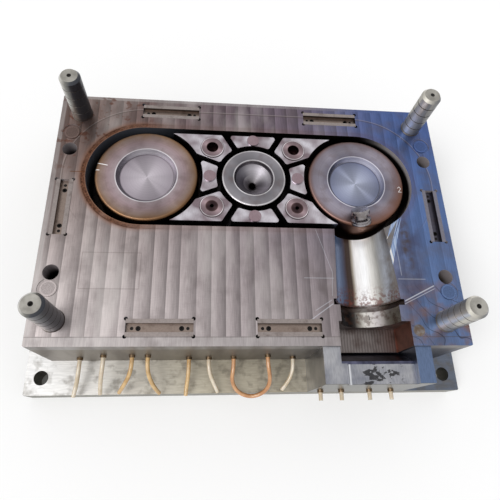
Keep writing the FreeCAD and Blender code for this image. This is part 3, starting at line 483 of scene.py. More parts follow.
def feed_stripes(tree, steel, place, x, y):
    """Each pass is bright on its left and dull on its right: the fraction of x / feed, which wanders."""
    wander = blotches(tree, place, 60 * MM, 0.3, 0.7, 1.0, (1, 0, 0))
    passes = add(tree, "Math", {0: x, 1: FEED}, operation="DIVIDE").outputs[0]
    passes = add(tree, "Math", {0: wander, 1: 0.30, 2: passes}, operation="MULTIPLY_ADD").outputs[0]
    phase = add(tree, "Math", {0: passes}, operation="FRACT").outputs[0]
    stripe = add(tree, "ValToRGB", {"Fac": phase}, stops=ONE_PASS).outputs[0]
    inside = both(tree, band(tree, y, *CUT_Y, 2 * MM), band(tree, x, *CUT_X, 3 * MM))
    patchy = blotches(tree, place, 100 * MM, 0.35, 0.65, 2.0, (1, 0.5, 1))
    strong = add(tree, "MapRange", {"Value": patchy, "To Min": 0.60, "To Max": 1.0}).outputs[0]
    right = band(tree, x, 0.25, None, 0.12)
    faded = add(tree, "MapRange", {"Value": right, "To Min": 1.0, "To Max": 0.45}).outputs[0]
    steel = lay(tree, steel, stripe, strong, faded, inside, blend="MULTIPLY")
    outside = add(tree, "Math", {0: 1.0, 1: inside}, operation="SUBTRACT").outputs[0]
    steel = lay(tree, steel, "a5a1a0", 0.45, outside, band(tree, x, None, 0.15, 0.20))
    steel = lay(tree, steel, "4c4543", 0.55, band(tree, y, *CUT_STEP, 1 * MM))
    return steel, phase, inside


print("passes over the plate:", round((CUT_X[1] - CUT_X[0]) / FEED))

# %% [markdown]
# ### Cutter marks, oil and rust
# Finer than the stripes are the cutter's own scratches, along each pass and in short
# arcs across it. Over them lie thin smears of old oil, dark and pale. Years of wet
# production have left rust: a wandering dark line close round the cavity, heaviest at
# its left end, with a brown bloom round it. Each is noise of a real size in a mask.

# %% Scratches, smears and the cavity's rust
def scratches_and_oil(tree, steel, place, x, inside):
    """Fine scratches and cutter arcs, then smears; it gives back the scratches for the bump."""
    fine = blotches(tree, place, 1.6 * MM, 0.3, 0.7, 2.0, (1, 0.06, 1))
    steel = marked(tree, steel, fine, 0.84, 1.14, 0.75)
    arcs = add(tree, "TexWave", {"Vector": place, "Scale": 120.0, "Distortion": 6.0, "Detail": 2.0,
                                 "Detail Scale": 0.6}, bands_direction="Y").outputs["Fac"]
    steel = marked(tree, steel, arcs, 0.92, 1.06, 0.6, inside)
    steel = lay(tree, steel, "5a5150", 0.42, blotches(tree, place, 45 * MM, 0.50, 0.72, 5.0))
    pale = blotches(tree, place, 60 * MM, 0.50, 0.75, 6.0, (1.0, 0.35, 1.0))
    return lay(tree, steel, "d6d0cd", 0.35, pale, band(tree, x, None, 0.15, 0.30)), fine


def cavity_rust(tree, steel, place, x):
    """Brown bloom, mottled rust and a darker line by their distance from the cavity's outline."""
    away = cavity_distance(tree, place)
    left_end = lay(tree, grey(0.12), grey(1.0), band(tree, x, None, -0.22, 0.16))
    bloom = band(tree, away, None, 13 * MM, 14 * MM)
    steel = lay(tree, steel, "7d5c4c", left_end, 0.8, bloom)
    rust = lay(tree, "35211a", "73503e", blotches(tree, place, 2.8 * MM, 0.30, 0.68, 6.0))
    uneven = blotches(tree, place, 50 * MM, 0.26, 0.46, 4.0)
    steel = lay(tree, steel, rust, left_end, uneven, band(tree, away, None, 9.5 * MM, 6 * MM))
    steel = lay(tree, steel, "2f1c13", left_end, 0.7, band(tree, away, 7.2 * MM, 8.8 * MM, 2 * MM),
                blotches(tree, place, 20 * MM, 0.42, 0.55, 6.0))
    return lay(tree, steel, "8a6a58", left_end, 0.7, band(tree, away, None, 1.2 * MM, 1 * MM)), away, bloom


print("scratches and rust are layers of their own")

# %% [markdown]
# ### Old outlines, stains and scribed lines
# The plate also tells what was done to it: a line that follows the cavity at the back,
# a shallow patch milled at the front left, tide marks and orange rust at the front
# right corner, vents ground from the rim to the edges, and a few lines that the fitter
# scribed by hand.

# %% Outlines, corner stains and vents
OUTLINES = [(42.5 * MM, 45.0 * MM, 1.6 * MM, "4f4743"), (45.5 * MM, 46.8 * MM, 1.0 * MM, "a39a98")]
PATCH_CENTRE = (-268 * MM, -127 * MM, 0)
PATCH_HALF = (53 * MM, 35 * MM, 0)
# each line's start, end, width and strength
VENTS = [((0.282, -0.181), (0.345, -0.150), 0.0020, 0.62), ((0.280, -0.187), (0.345, -0.156), 0.0014, 0.45),
         ((0.142, -0.187), (0.092, -0.222), 0.0016, 0.45), ((0.140, -0.180), (0.108, -0.200), 0.0016, 0.30),
         ((0.275, -0.137), (0.330, -0.137), 0.0012, 0.40), ((0.090, -0.137), (0.148, -0.137), 0.0012, 0.35),
         ((0.120, -0.036), (0.146, -0.125), 0.0010, 0.30), ((0.146, -0.125), (0.142, -0.172), 0.0010, 0.30),
         ((0.280, 0.010), (0.283, -0.130), 0.0018, 0.25)]
RUSTY_MARK = ((-0.365, 0.079), (-0.336, 0.079), 0.0016)


def old_outlines(tree, steel, place, y, away):
    """Two lines beside the cavity's back, and a patch's edge: the greater of |x| - half and |y| - half."""
    for low, high, soft, colour in OUTLINES:
        steel = lay(tree, steel, colour, 0.45, band(tree, away, low, high, soft),
                    band(tree, y, 0.0, None, 0.1))
    past = add(tree, "SeparateXYZ", {"Vector": beyond(tree, place, PATCH_CENTRE, PATCH_HALF)}).outputs
    edge = add(tree, "Math", {0: past["X"], 1: past["Y"]}, operation="MAXIMUM").outputs[0]
    return lay(tree, steel, "5d5350", 0.30, band(tree, edge, -0.9 * MM, 0.9 * MM, 0.8 * MM))


def corner_stains(tree, steel, place, x, y):
    """Rust spots at the back left; at the front right rust round the pin, then dark tide marks."""
    steel = lay(tree, steel, "5a3628", 0.7, blotches(tree, place, 16 * MM, 0.58, 0.66, 5.0),
                band(tree, x, None, -0.22, 0.16), band(tree, y, 0.10, None, 0.16))
    front_right = both(tree, band(tree, x, 0.28, None, 0.05), band(tree, y, None, -0.15, 0.08))
    rusty = blotches(tree, place, 35 * MM, 0.46, 0.66, 5.0)
    steel = lay(tree, steel, "7a5a46", 0.80, front_right, rusty)
    tide = add(tree, "TexWave", {"Vector": place, "Scale": 9.0, "Distortion": 9.0, "Detail": 2.0,
                                 "Detail Scale": 0.9}, bands_direction="DIAGONAL").outputs["Fac"]
    steel = lay(tree, steel, "33323a", 0.75, front_right, band(tree, tide, 0.46, 0.54, 0.05))
    steel = lay(tree, steel, "43445a", 0.7, band(tree, x, 0.268, 0.335, 0.03),
                band(tree, y, -0.20, -0.02, 0.06), blotches(tree, place, 40 * MM, 0.35, 0.62, 5.0))
    return lay(tree, steel, "4b4038", 0.8, band(tree, x, 0.292, 0.312, 0.016),
               band(tree, y, -0.12, 0.0, 0.06), blotches(tree, place, 16 * MM, 0.35, 0.6, 6.0))


def scribed_lines(tree, steel, place):
    """Bright vents and the fitter's lines, and one rusty line at the left."""
    for start, end, width, strength in VENTS:
        steel = lay(tree, steel, "cfd3dc", strength, scribe(tree, place, start, end, width))
    return lay(tree, steel, "5f3a22", 0.8, scribe(tree, place, *RUSTY_MARK))


print("scribed lines:", len(VENTS) + 1)

# %% [markdown]
# ### The milled face put together
# The layers go on in the order in which the years put them there. Rust is also rougher
# than bare steel, and the stripes and scratches lift the surface by a few hundredths of
# a millimetre, which breaks up what it mirrors.

# %% Face-milled tool steel
def milled_face():
    """Face-milled tool steel: broad feed stripes, fine scratches, brown rust round the cavity."""
    material, tree, shader, place = begin("milled_tool_steel", 1.0, 0.42)
    x, y, _ = add(tree, "SeparateXYZ", {"Vector": place}).outputs
    steel, phase, inside = feed_stripes(tree, plate_tone_and_sky(tree, x, y), place, x, y)
    steel, fine = scratches_and_oil(tree, steel, place, x, inside)
    steel, away, bloom = cavity_rust(tree, steel, place, x)
    steel = old_outlines(tree, steel, place, y, away)
    steel = corner_stains(tree, steel, place, x, y)
    steel = scribed_lines(tree, steel, place)
    tree.links.new(steel, shader.inputs["Base Color"])
    matt = add(tree, "MapRange", {"Value": bloom, "To Min": 0.38, "To Max": 0.58}).outputs[0]
    tree.links.new(matt, shader.inputs["Roughness"])
    height = add(tree, "Math", {0: fine, 1: phase}, operation="ADD").outputs[0]
    relief = add(tree, "Bump", {"Height": height, "Strength": 1.0, "Distance": 0.06 * MM}).outputs[0]
    tree.links.new(relief, shader.inputs["Normal"])
    return material


top_finish = milled_face()
print(top_finish.name, len(top_finish.node_tree.nodes), "nodes")

# %% [markdown]
# ## Holes, cavity wall and sides
# Bored holes and the cavity's wall are cut steel under oil: they mirror each other, so
# they look black but for what faces the light, and both are painted into their colour:
# nearly black shade below, lighter where a wall faces the light. A metal shows only what
# it mirrors, so where daylight falls in, a wall is also made less metallic, which lets it
# catch light as a film of oil does. The outside was ground once and has gone brown from wet hands.

# %% Holes with painted light and shade, and ground sides
RIM_DEPTH, HOLE_DEPTH, LEFT_DEPTH, RIGHT_DEPTH = 12 * MM, 30 * MM, 35 * MM, 50 * MM
TIE_HOLE_X = 352 * MM
LEFT_WALL_X = -345 * MM


def bore_wall():
    """Cut steel in holes and down the cavity's wall: painted light by the edge and where a wall faces the
    light, painted shade, nearly black, below.
    """
    material, tree, shader, place = begin("cut_steel_painted_light_and_shade", 0.95, 0.42)
    x, y, z = add(tree, "SeparateXYZ", {"Vector": place}).outputs
    # painted shade: the walls are nearly black below their lit parts
    steel = lay(tree, "151312", "2c2624", blotches(tree, place, 30 * MM, 0.35, 0.65, 3.0, (1, 1, 3)))
    # painted light: lighter colours on the right end's rim and wall, the tie holes and the left wall
    rim = both(tree, band(tree, z, PARTING - RIM_DEPTH, None, 10 * MM), band(tree, x, 0.27, None, 0.08))
    steel = lay(tree, steel, "b4afb0", 0.9, rim)
    right_end = both(tree, band(tree, x, 0.13, None, 0.10), band(tree, y, None, 0.02, 0.06),
                     band(tree, z, PARTING - RIGHT_DEPTH, None, 50 * MM))
    steel = lay(tree, steel, "7d7266", 0.75, right_end)
    aside = add(tree, "Math", {0: x}, operation="ABSOLUTE").outputs[0]
    hole = both(tree, band(tree, aside, TIE_HOLE_X, None, 3 * MM),
                band(tree, z, PARTING - HOLE_DEPTH, None, 30 * MM))
    steel = lay(tree, steel, "a49c9e", 0.9, hole)
    left_wall = both(tree, band(tree, x, None, -0.16, 0.16),
                     band(tree, z, PARTING - LEFT_DEPTH, None, 30 * MM))
    steel = lay(tree, steel, "565b66", 0.8, left_wall, band(tree, x, LEFT_WALL_X, None, 4 * MM))
    tree.links.new(steel, shader.inputs["Base Color"])
    lit = rim
    for part in (hole, right_end, left_wall):
        lit = add(tree, "Math", {0: lit, 1: part}, operation="MAXIMUM").outputs[0]
    metal = add(tree, "MapRange", {"Value": lit, "To Min": 0.95, "To Max": 0.30}).outputs[0]
    tree.links.new(metal, shader.inputs["Metallic"])
    return material


def outer_side():
    """The plate's ground sides: grey steel gone brownish, with drips and handling marks."""
    material, tree, shader, place = begin("ground_side_steel", 1.0, 0.48)
    x, _, z = add(tree, "SeparateXYZ", {"Vector": place}).outputs
    steel = lay(tree, "746d64", "5c5f68", band(tree, x, 0.1, None, 0.5))
    steel = lay(tree, steel, "8f8c8b", 0.8, band(tree, z, PARTING - 30 * MM, None, 6 * MM))
    steel = lay(tree, steel, "4d4139", 0.55, blotches(tree, place, 50 * MM, 0.45, 0.7, 4.0, (2.0, 2.0, 0.35)))
    steel = brushed(tree, steel, place, 3 * MM, (0.2, 0.2, 2.0), 0.85, 1.12, 0.6)
    tree.links.new(steel, shader.inputs["Base Color"])
    return material


bore_finish, side_finish = bore_wall(), outer_side()
print(bore_finish.name, "and", side_finish.name)

# %% [markdown]
# ## The pipe trough and its collar
# The trough forms the fitting's pipe, so it was polished along its length, and it
# mirrors its surroundings in long bands: the dark mould at its left, the white room at
# its bottom. Real reflections of so plain a room are too weak for that, so a ramp
# across the trough draws the bands, and a part of the metal is turned matt. The collar
# seat in front was turned, which gives rings across the light, and a ramp across it
# paints its shade and reflection, nearly black on the left and bright on the right.

# %% Polished trough and turned collar
TROUGH_BACK = -15 * MM
TROUGH_RADIUS = 52.5 * MM
TROUGH_TAPER = 0.0586
COLLAR_RADIUS = 69 * MM
BANDS = [(0.0, "8f8f96"), (0.05, "74809c"), (0.12, "7085ab"), (0.22, "5c6884"), (0.30, "4b4048"),
         (0.325, "38261d"), (0.40, "33221a"), (0.435, "9c9284"), (0.49, "efeceb"), (0.64, "fbfbfc"),
         (0.74, "d9d6d2"), (0.85, "a3a19c"), (0.93, "b9bcc2"), (1.0, "6b6c74")]
COLLAR_SHADE_AND_REFLECTION = [(0.0, "4a4a56"), (0.10, "1e1c22"), (0.30, "121014"), (0.40, "332e2b"), (0.48, "8f8a82"),
                (0.56, "d9d5cf"), (0.72, "b9b3b3"), (0.86, "8a8378"), (1.0, "4c4744")]
COLLAR_NICKS = [((0.204, -0.194), (0.205, -0.203)), ((0.228, -0.195), (0.229, -0.205)),
                ((0.180, -0.193), (0.180, -0.200))]


def trough_wall():
    """Polished steel: the place across is (x - middle) / radius, and the radius grows to the front."""
    material, tree, shader, place = begin("polished_trough_steel", 0.35, 0.24)
    x, y, _ = add(tree, "SeparateXYZ", {"Vector": place}).outputs
    radius = add(tree, "Math", {0: y, 1: -TROUGH_TAPER, 2: TROUGH_RADIUS + TROUGH_TAPER * TROUGH_BACK},
                 operation="MULTIPLY_ADD").outputs[0]
    across = add(tree, "Math", {0: x, 1: TROUGH_X}, operation="SUBTRACT").outputs[0]
    across = add(tree, "Math", {0: across, 1: radius}, operation="DIVIDE").outputs[0]
    wobble = blotches(tree, place, 80 * MM, 0.3, 0.7, 1.0, (1, 0.5, 1))
    across = add(tree, "Math", {0: wobble, 1: 0.10, 2: across}, operation="MULTIPLY_ADD").outputs[0]
    across = add(tree, "Math", {0: across, 1: 0.5, 2: 0.47}, operation="MULTIPLY_ADD").outputs[0]
    mirror = add(tree, "ValToRGB", {"Fac": across}, stops=BANDS).outputs[0]
    mirror = lay(tree, mirror, "6a2f22", 0.75, band(tree, y, None, -0.150, 0.05),
                 blotches(tree, place, 6 * MM, 0.46, 0.58, 5.0))
    mirror = lay(tree, mirror, "3b1f16", 0.8, band(tree, y, None, RIM_Y + 3.5 * MM, 4 * MM))
    mirror = lay(tree, mirror, "6b5b45", 0.5, band(tree, x, 0.262, None, 0.02),
                 blotches(tree, place, 20 * MM, 0.4, 0.6))
    mirror = brushed(tree, mirror, place, 2.2 * MM, (1, 0.05, 1), 0.84, 1.08, 0.7)
    tree.links.new(mirror, shader.inputs["Base Color"])
    return material


def collar_wall():
    """The collar seat and the groove before it: turned steel with painted shade, nearly black on the left,
    and a bright painted reflection on the right.
    """
    material, tree, shader, place = begin("turned_collar_steel", 0.7, 0.26)
    x, y, _ = add(tree, "SeparateXYZ", {"Vector": place}).outputs
    across = add(tree, "MapRange", {"Value": x, "From Min": TROUGH_X - COLLAR_RADIUS,
                                    "From Max": TROUGH_X + COLLAR_RADIUS}).outputs[0]
    # painted shade and reflection: dark on the left, bright on the right across the seat
    mirror = add(tree, "ValToRGB", {"Fac": across}, stops=COLLAR_SHADE_AND_REFLECTION).outputs[0]
    mirror = lay(tree, mirror, "4a2f22", 0.6, blotches(tree, place, 12 * MM, 0.50, 0.62, 4.0))
    for start, end in COLLAR_NICKS:
        mirror = lay(tree, mirror, "1f1a18", 0.85, scribe(tree, place, start, end, 1.6 * MM))
    mirror = lay(tree, mirror, "33211a", 0.75, band(tree, y, -189.5 * MM, None, 1 * MM))
    turned = add(tree, "TexWave", {"Vector": place, "Scale": 260.0, "Distortion": 0.6, "Detail": 2.0},
                 bands_direction="Y").outputs["Fac"]
    mirror = marked(tree, mirror, turned, 0.80, 1.10, 0.6)
    tree.links.new(mirror, shader.inputs["Base Color"])
    return material


trough_finish, collar_finish = trough_wall(), collar_wall()
print(trough_finish.name, "and", collar_finish.name)

# %% [markdown]
# ## The slide pocket and the flank
# The empty pocket in front held a slide, so its floor is milled and wears a film of
# brown oil, and its right wall has rusted. The flank beside the trough was milled
# along its slope; the blue of the sky that it mirrors is painted, as is a highlight on its edge.

# %% Oily pocket and milled flank
RUSTY_WALL_X = 284 * MM
FLANK_HIGHLIGHT = ((0.266, -0.012), (0.2745, -0.135), 0.003)


def pocket_wall():
    """The slide pocket: milled floor with brown oil on it, and a rusty right wall."""
    material, tree, shader, place = begin("oily_milled_steel", 0.95, 0.4)
    x, _, z = add(tree, "SeparateXYZ", {"Vector": place}).outputs
    steel = lay(tree, "77706e", "8c5f50", band(tree, x, RUSTY_WALL_X, None, 4 * MM))
    marks = add(tree, "TexWave", {"Vector": place, "Scale": 55.0, "Distortion": 2.0, "Detail": 2.0},
                bands_direction="X").outputs["Fac"]
    steel = lay(tree, steel, "4b4443", 0.6, marks, band(tree, z, None, SLIDE_FLOOR + 2 * MM, 1 * MM))
    steel = lay(tree, steel, "3a2a25", 0.6, blotches(tree, place, 30 * MM, 0.45, 0.7))
    tree.links.new(steel, shader.inputs["Base Color"])
    return material


def flank_wall():
    """The sloping flank beside the trough: steel milled along the slope, blue-grey as a painted sky
    reflection, with a painted highlight on its edge.
    """
    material, tree, shader, place = begin("milled_flank_steel", 1.0, 0.34)
    # painted sky reflection: the blue-grey of the slope
    steel = lay(tree, "6d83ad", "a9b6cc", blotches(tree, place, 3 * MM, 0.3, 0.7, 2.0, (1, 0.08, 1)))
    # painted highlight along the flank's edge
    steel = lay(tree, steel, "e9e4da", 0.8, scribe(tree, place, *FLANK_HIGHLIGHT))
    tree.links.new(steel, shader.inputs["Base Color"])
    return material


pocket_finish, flank_finish = pocket_wall(), flank_wall()
print(pocket_finish.name, "and", flank_finish.name)

# %% [markdown]
# ## One plate, seven finishes
# The plate is one piece of steel, so it stays one mesh. Each of its faces takes the
# material of the tool that cut it, found from where the face lies and how it points.

# %% Dress the cavity plate
PLATE_FINISHES = [top_finish, bore_finish, side_finish, trough_finish, collar_finish, pocket_finish,
                  flank_finish]
TOP, BORE, SIDE, TROUGH, COLLAR, POCKET, FLANK = range(7)
POCKET_X = (145 * MM, 290 * MM)
COLLAR_REACH, TROUGH_REACH, TROUGH_HALF = 70 * MM, 65 * MM, 64 * MM
FLANK_X, FLANK_Y = 240 * MM, (-140 * MM, 20 * MM)
NEAR = 3 * MM


def plate_region(centre, normal):
    """Which machining a face of the plate belongs to, by where it lies and how it points."""
    x, y, z = centre
    if z > PARTING - 2 * MM and normal.z > 0.9:
        return TOP
    if abs(abs(x) - plate_high.x) < NEAR or abs(abs(y) - plate_high.y) < 0.6 * MM:
        return SIDE
    if math.hypot(max(abs(x) - CAVITY_END, 0), y - LINE) - CAVITY_RADIUS < 0.6 * MM:
        return BORE
    if y < SLIDE_Y + 0.3 * MM and POCKET_X[0] < x < POCKET_X[1]:
        return POCKET
    off_axis = math.hypot(x - TROUGH_X, z - PARTING)
    if y < RIM_Y + 0.4 * MM and off_axis < COLLAR_REACH:
        return COLLAR
    if abs(x - TROUGH_X) < TROUGH_HALF and off_axis < TROUGH_REACH and y < TROUGH_BACK + 5 * MM:
        return TROUGH
    if x > FLANK_X and normal.z > 0.5 and FLANK_Y[0] < y < FLANK_Y[1]:
        return FLANK
    return BORE


plate = dressed_copy("cavity_plate", "plate_steel", *PLATE_FINISHES)
for face in plate.data.polygons:
    face.material_index = plate_region(face.center, face.normal)
print("plate faces:", len(plate.data.polygons))

# %% [markdown]
# ## The clamp plate and the plain steel pieces
# The wider plate underneath is what the machine's platen bolts hold. It was ground, and
# its ledge has kept a lighter, slightly greenish grey. The small steel pieces share one
# finish with other colours and marks, because each was hardened differently.

# %% Ground and turned steel
def worn_steel(name, clean, dull, shine, patch, marks=(1, 1, 1)):
    """Ground or turned steel: two tones in patches of one size, and fine marks one way."""
    material, tree, shader, place = begin(name, 1.0, shine)
    steel = lay(tree, clean, dull, blotches(tree, place, patch, 0.35, 0.65))
    steel = brushed(tree, steel, place, 2.5 * MM, marks, 0.82, 1.14, 0.7)
    tree.links.new(steel, shader.inputs["Base Color"])
    return material


def clamp_face():
    """Ground clamp plate: light on the left of the ledge, bluish at the right end, a painted sky reflection,
    scuffed.
    """
    material, tree, shader, place = begin("ground_clamp_steel", 1.0, 0.45)
    x, _, z = add(tree, "SeparateXYZ", {"Vector": place}).outputs
    steel = lay(tree, "c4c3c2", "a9a292", band(tree, x, -0.25, None, 0.4))
    # painted sky reflection: bluish towards the right end
    steel = lay(tree, steel, "616773", band(tree, x, 0.28, None, 0.14))
    steel = lay(tree, "85837b", steel, band(tree, z, LEDGE - 0.5 * MM, None, 0.4 * MM))
    steel = lay(tree, steel, "5c564c", 0.5, blotches(tree, place, 20 * MM, 0.52, 0.68, 5.0))
    steel = brushed(tree, steel, place, 3 * MM, (0.15, 1, 1), 0.84, 1.12, 0.7)
    tree.links.new(steel, shader.inputs["Base Color"])
    return material


dressed_copy("clamp_plate", "clamp_steel", clamp_face())
print("clamp plate is dressed")

# %% [markdown]
# ### Stop pads
# The four round pads are ground level with the parting face, so they share its colour,
# its painted sky reflection too, but not its stripes, and a painted highlight ring shows
# where their edge was chamfered. The four lie mirrored about one point, so one distance,
# folded twice, draws all four rings.

# %% Ground pads
PADS = [centre_of("return_pad_%d" % i) for i in range(1, 5)]
pad_low, pad_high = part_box("return_pad_1")
PAD_RADIUS = (pad_high.x - pad_low.x) / 2
PAD_X = max(pad.x for pad in PADS)
pad_front, pad_back = min(pad.y for pad in PADS), max(pad.y for pad in PADS)
PAD_Y, PAD_SPREAD = (pad_back + pad_front) / 2, (pad_back - pad_front) / 2
PAD_BEVEL = 0.3 * MM


def pad_face():
    """Hardened pads: the parting face's colour with fine grinding marks, and a painted highlight ring on the
    chamfer.
    """
    material, tree, shader, place = begin("ground_pad_steel", 1.0, 0.4)
    x, y, _ = add(tree, "SeparateXYZ", {"Vector": place}).outputs
    fine = blotches(tree, place, 2 * MM, 0.3, 0.7, 2.0)
    steel = marked(tree, plate_tone_and_sky(tree, x, y), fine, 0.62, 0.96, 1.0)
    away = from_above(tree, beyond(tree, place, (0, PAD_Y, 0), (PAD_X, PAD_SPREAD, 0)))[1]
    # painted highlight: a bright ring where the chamfer catches the light
    chamfer_highlight = band(tree, away, PAD_RADIUS - 3.5 * MM, PAD_RADIUS - 1.5 * MM, 1.2 * MM)
    steel = lay(tree, steel, grey(1.45), 0.8, chamfer_highlight, blend="MULTIPLY")
    tree.links.new(steel, shader.inputs["Base Color"])
    return material


pad_finish = pad_face()
for i in range(1, 5):
    dressed_copy("return_pad_%d" % i, "pad_steel", pad_finish, bevel=PAD_BEVEL)
print("pads of radius", round(PAD_RADIUS, 4))

# %% [markdown]
# ### Side locks
# The locks' channels take the bars of the other half, which keeps the two in line. They
# are nitrided and ground: bright rails, a browner channel, and a dark line of painted
# shade where the two meet; the blue on the right is a painted sky reflection. A height in
# the material tells rail from channel.

# %% Nitrided locks
def lock_bar():
    """Side lock: bright ground rails, a browner channel between them, painted shade below the rails, bluer on
    the right as a painted sky reflection.
    """
    material, tree, shader, place = begin("nitrided_lock_steel", 1.0, 0.36)
    x, _, z = add(tree, "SeparateXYZ", {"Vector": place}).outputs
    # painted sky reflection: bluer towards the right
    right = band(tree, x, 0.25, None, 0.1)
    rails, channel = lay(tree, "8f8683", "77757f", right), lay(tree, "84766e", "4b4953", right)
    steel = lay(tree, channel, rails, band(tree, z, PARTING - 4 * MM, None, 2 * MM))
    # painted shade: a dark band down the walls just below the rails
    steel = lay(tree, steel, "3a332f", 0.8, band(tree, z, PARTING - 5.5 * MM, PARTING - 0.8 * MM, 0.6 * MM))
    steel = brushed(tree, steel, place, 3 * MM, (1, 1, 1), 0.82, 1.12, 0.6)
    steel = lay(tree, steel, "4a3a33", 0.4, blotches(tree, place, 20 * MM, 0.55, 0.7, 4.0))
    tree.links.new(steel, shader.inputs["Base Color"])
    return material


lock_finish = lock_bar()
for i in range(1, 7):
    dressed_copy("side_lock_%d" % i, "lock_steel", lock_finish)
print("six locks are dressed")

# %% [markdown]
# ### Heel block, cheeks and small parts
# The heel block takes the slide's thrust, and the slide's grease has been smeared over
# its top by hand. Screws and dowels wear black oxide, and the nipples are plain brass
# gone dull. None of these needs more than a colour, patches and marks.

# %% Heel, cheeks, ring, screws and nipples
heel_low, heel_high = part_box("heel_block")
right_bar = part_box("right_cheek")[0].x
GREASE_X = (185 * MM, 262 * MM)


def heel_face():
    """Ground heel block and cheeks: clean grey tops, blue at the right as a painted sky reflection, with
    black grease smears.
    """
    material, tree, shader, place = begin("ground_heel_steel", 1.0, 0.32)
    x, y, z = add(tree, "SeparateXYZ", {"Vector": place}).outputs
    steel = lay(tree, "a2a2a6", "7b7d86", blotches(tree, place, 50 * MM, 0.35, 0.65))
    # painted sky reflection: the right cheek is bluer
    steel = lay(tree, steel, "60708d", band(tree, x, right_bar, None, 2 * MM))
    steel = lay(tree, steel, "5f5e58", 0.9, band(tree, y, None, heel_low.y + 0.6 * MM, 0.4 * MM))
    steel = brushed(tree, steel, place, 2.5 * MM, (1, 0.2, 1), 0.82, 1.14, 0.7)
    top = band(tree, z, heel_high.z - 2 * MM, None, 1 * MM)
    smears = blotches(tree, place, 14 * MM, 0.55, 0.575, 7.0, (1, 1.5, 1))
    steel = lay(tree, steel, "1d1b1b", 0.85, smears, band(tree, x, *GREASE_X, 20 * MM), top)
    steel = lay(tree, steel, "e6e7ea", 0.7, band(tree, x, heel_low.x, heel_low.x + 9 * MM, 3 * MM), top)
    tree.links.new(steel, shader.inputs["Base Color"])
    return material


heel_finish = heel_face()
wear_finish = worn_steel("hardened_wear_steel", "5a5b70", "3b3c4c", 0.3, 20 * MM, (1, 0.2, 0.3))
plug_finish = worn_steel("turned_plug_steel", "7b7a7d", "6a5c52", 0.3, 8 * MM)
oxide_finish = worn_steel("black_oxide_steel", "2b2928", "1d1c1c", 0.45, 10 * MM)
ring_finish = worn_steel("turned_ring_steel", "8f8f8f", "767472", 0.3, 30 * MM)
brass_finish = worn_steel("dull_brass", "85715a", "5d4d3a", 0.4, 6 * MM)
for slot, finish, nodes in (
        ("heel_steel", heel_finish, ("heel_block", "left_cheek", "right_cheek")),
        ("wear_steel", wear_finish, ("wear_plate",)),
        ("plug_steel", plug_finish, ("round_plug",)),
        ("ring_steel", ring_finish, ("sprue_bush", "locating_ring")),
        ("black_oxide_steel", oxide_finish, ("side_lock_screws", "side_lock_dowels", "locating_ring_screws",
                                             "plate_screws", "cheek_screws")),
        ("nipple_brass", brass_finish, ("hose_nipples",)),
        ("hose_cream", hose_finishes["hose_cream"], ("hose_stubs",))):
    for node in nodes:
        dressed_copy(node, slot, finish)
    print(slot, "on", ", ".join(nodes))

# %% [markdown]
# ## Turned inserts in the cavity
# The discs that form the chambers, the gate insert and the round cores were turned on
# a lathe, so their faces mirror the light as two opposed fans. The shader's tangent
# runs round each piece's own line, which stretches the highlight square to the marks.
# One function serves them all: a ramp from the middle outwards gives the steps, and the two fans are also
# painted into the colour, by the angle round the middle.

# %% A finish for turned faces
FAN_SHEEN = [(0.0, 0.98), (0.25, 0.72), (0.55, 0.80), (0.80, 1.0), (0.93, 1.28), (1.0, 1.38)]
WALL_SHADE = (-0.90, -0.43)


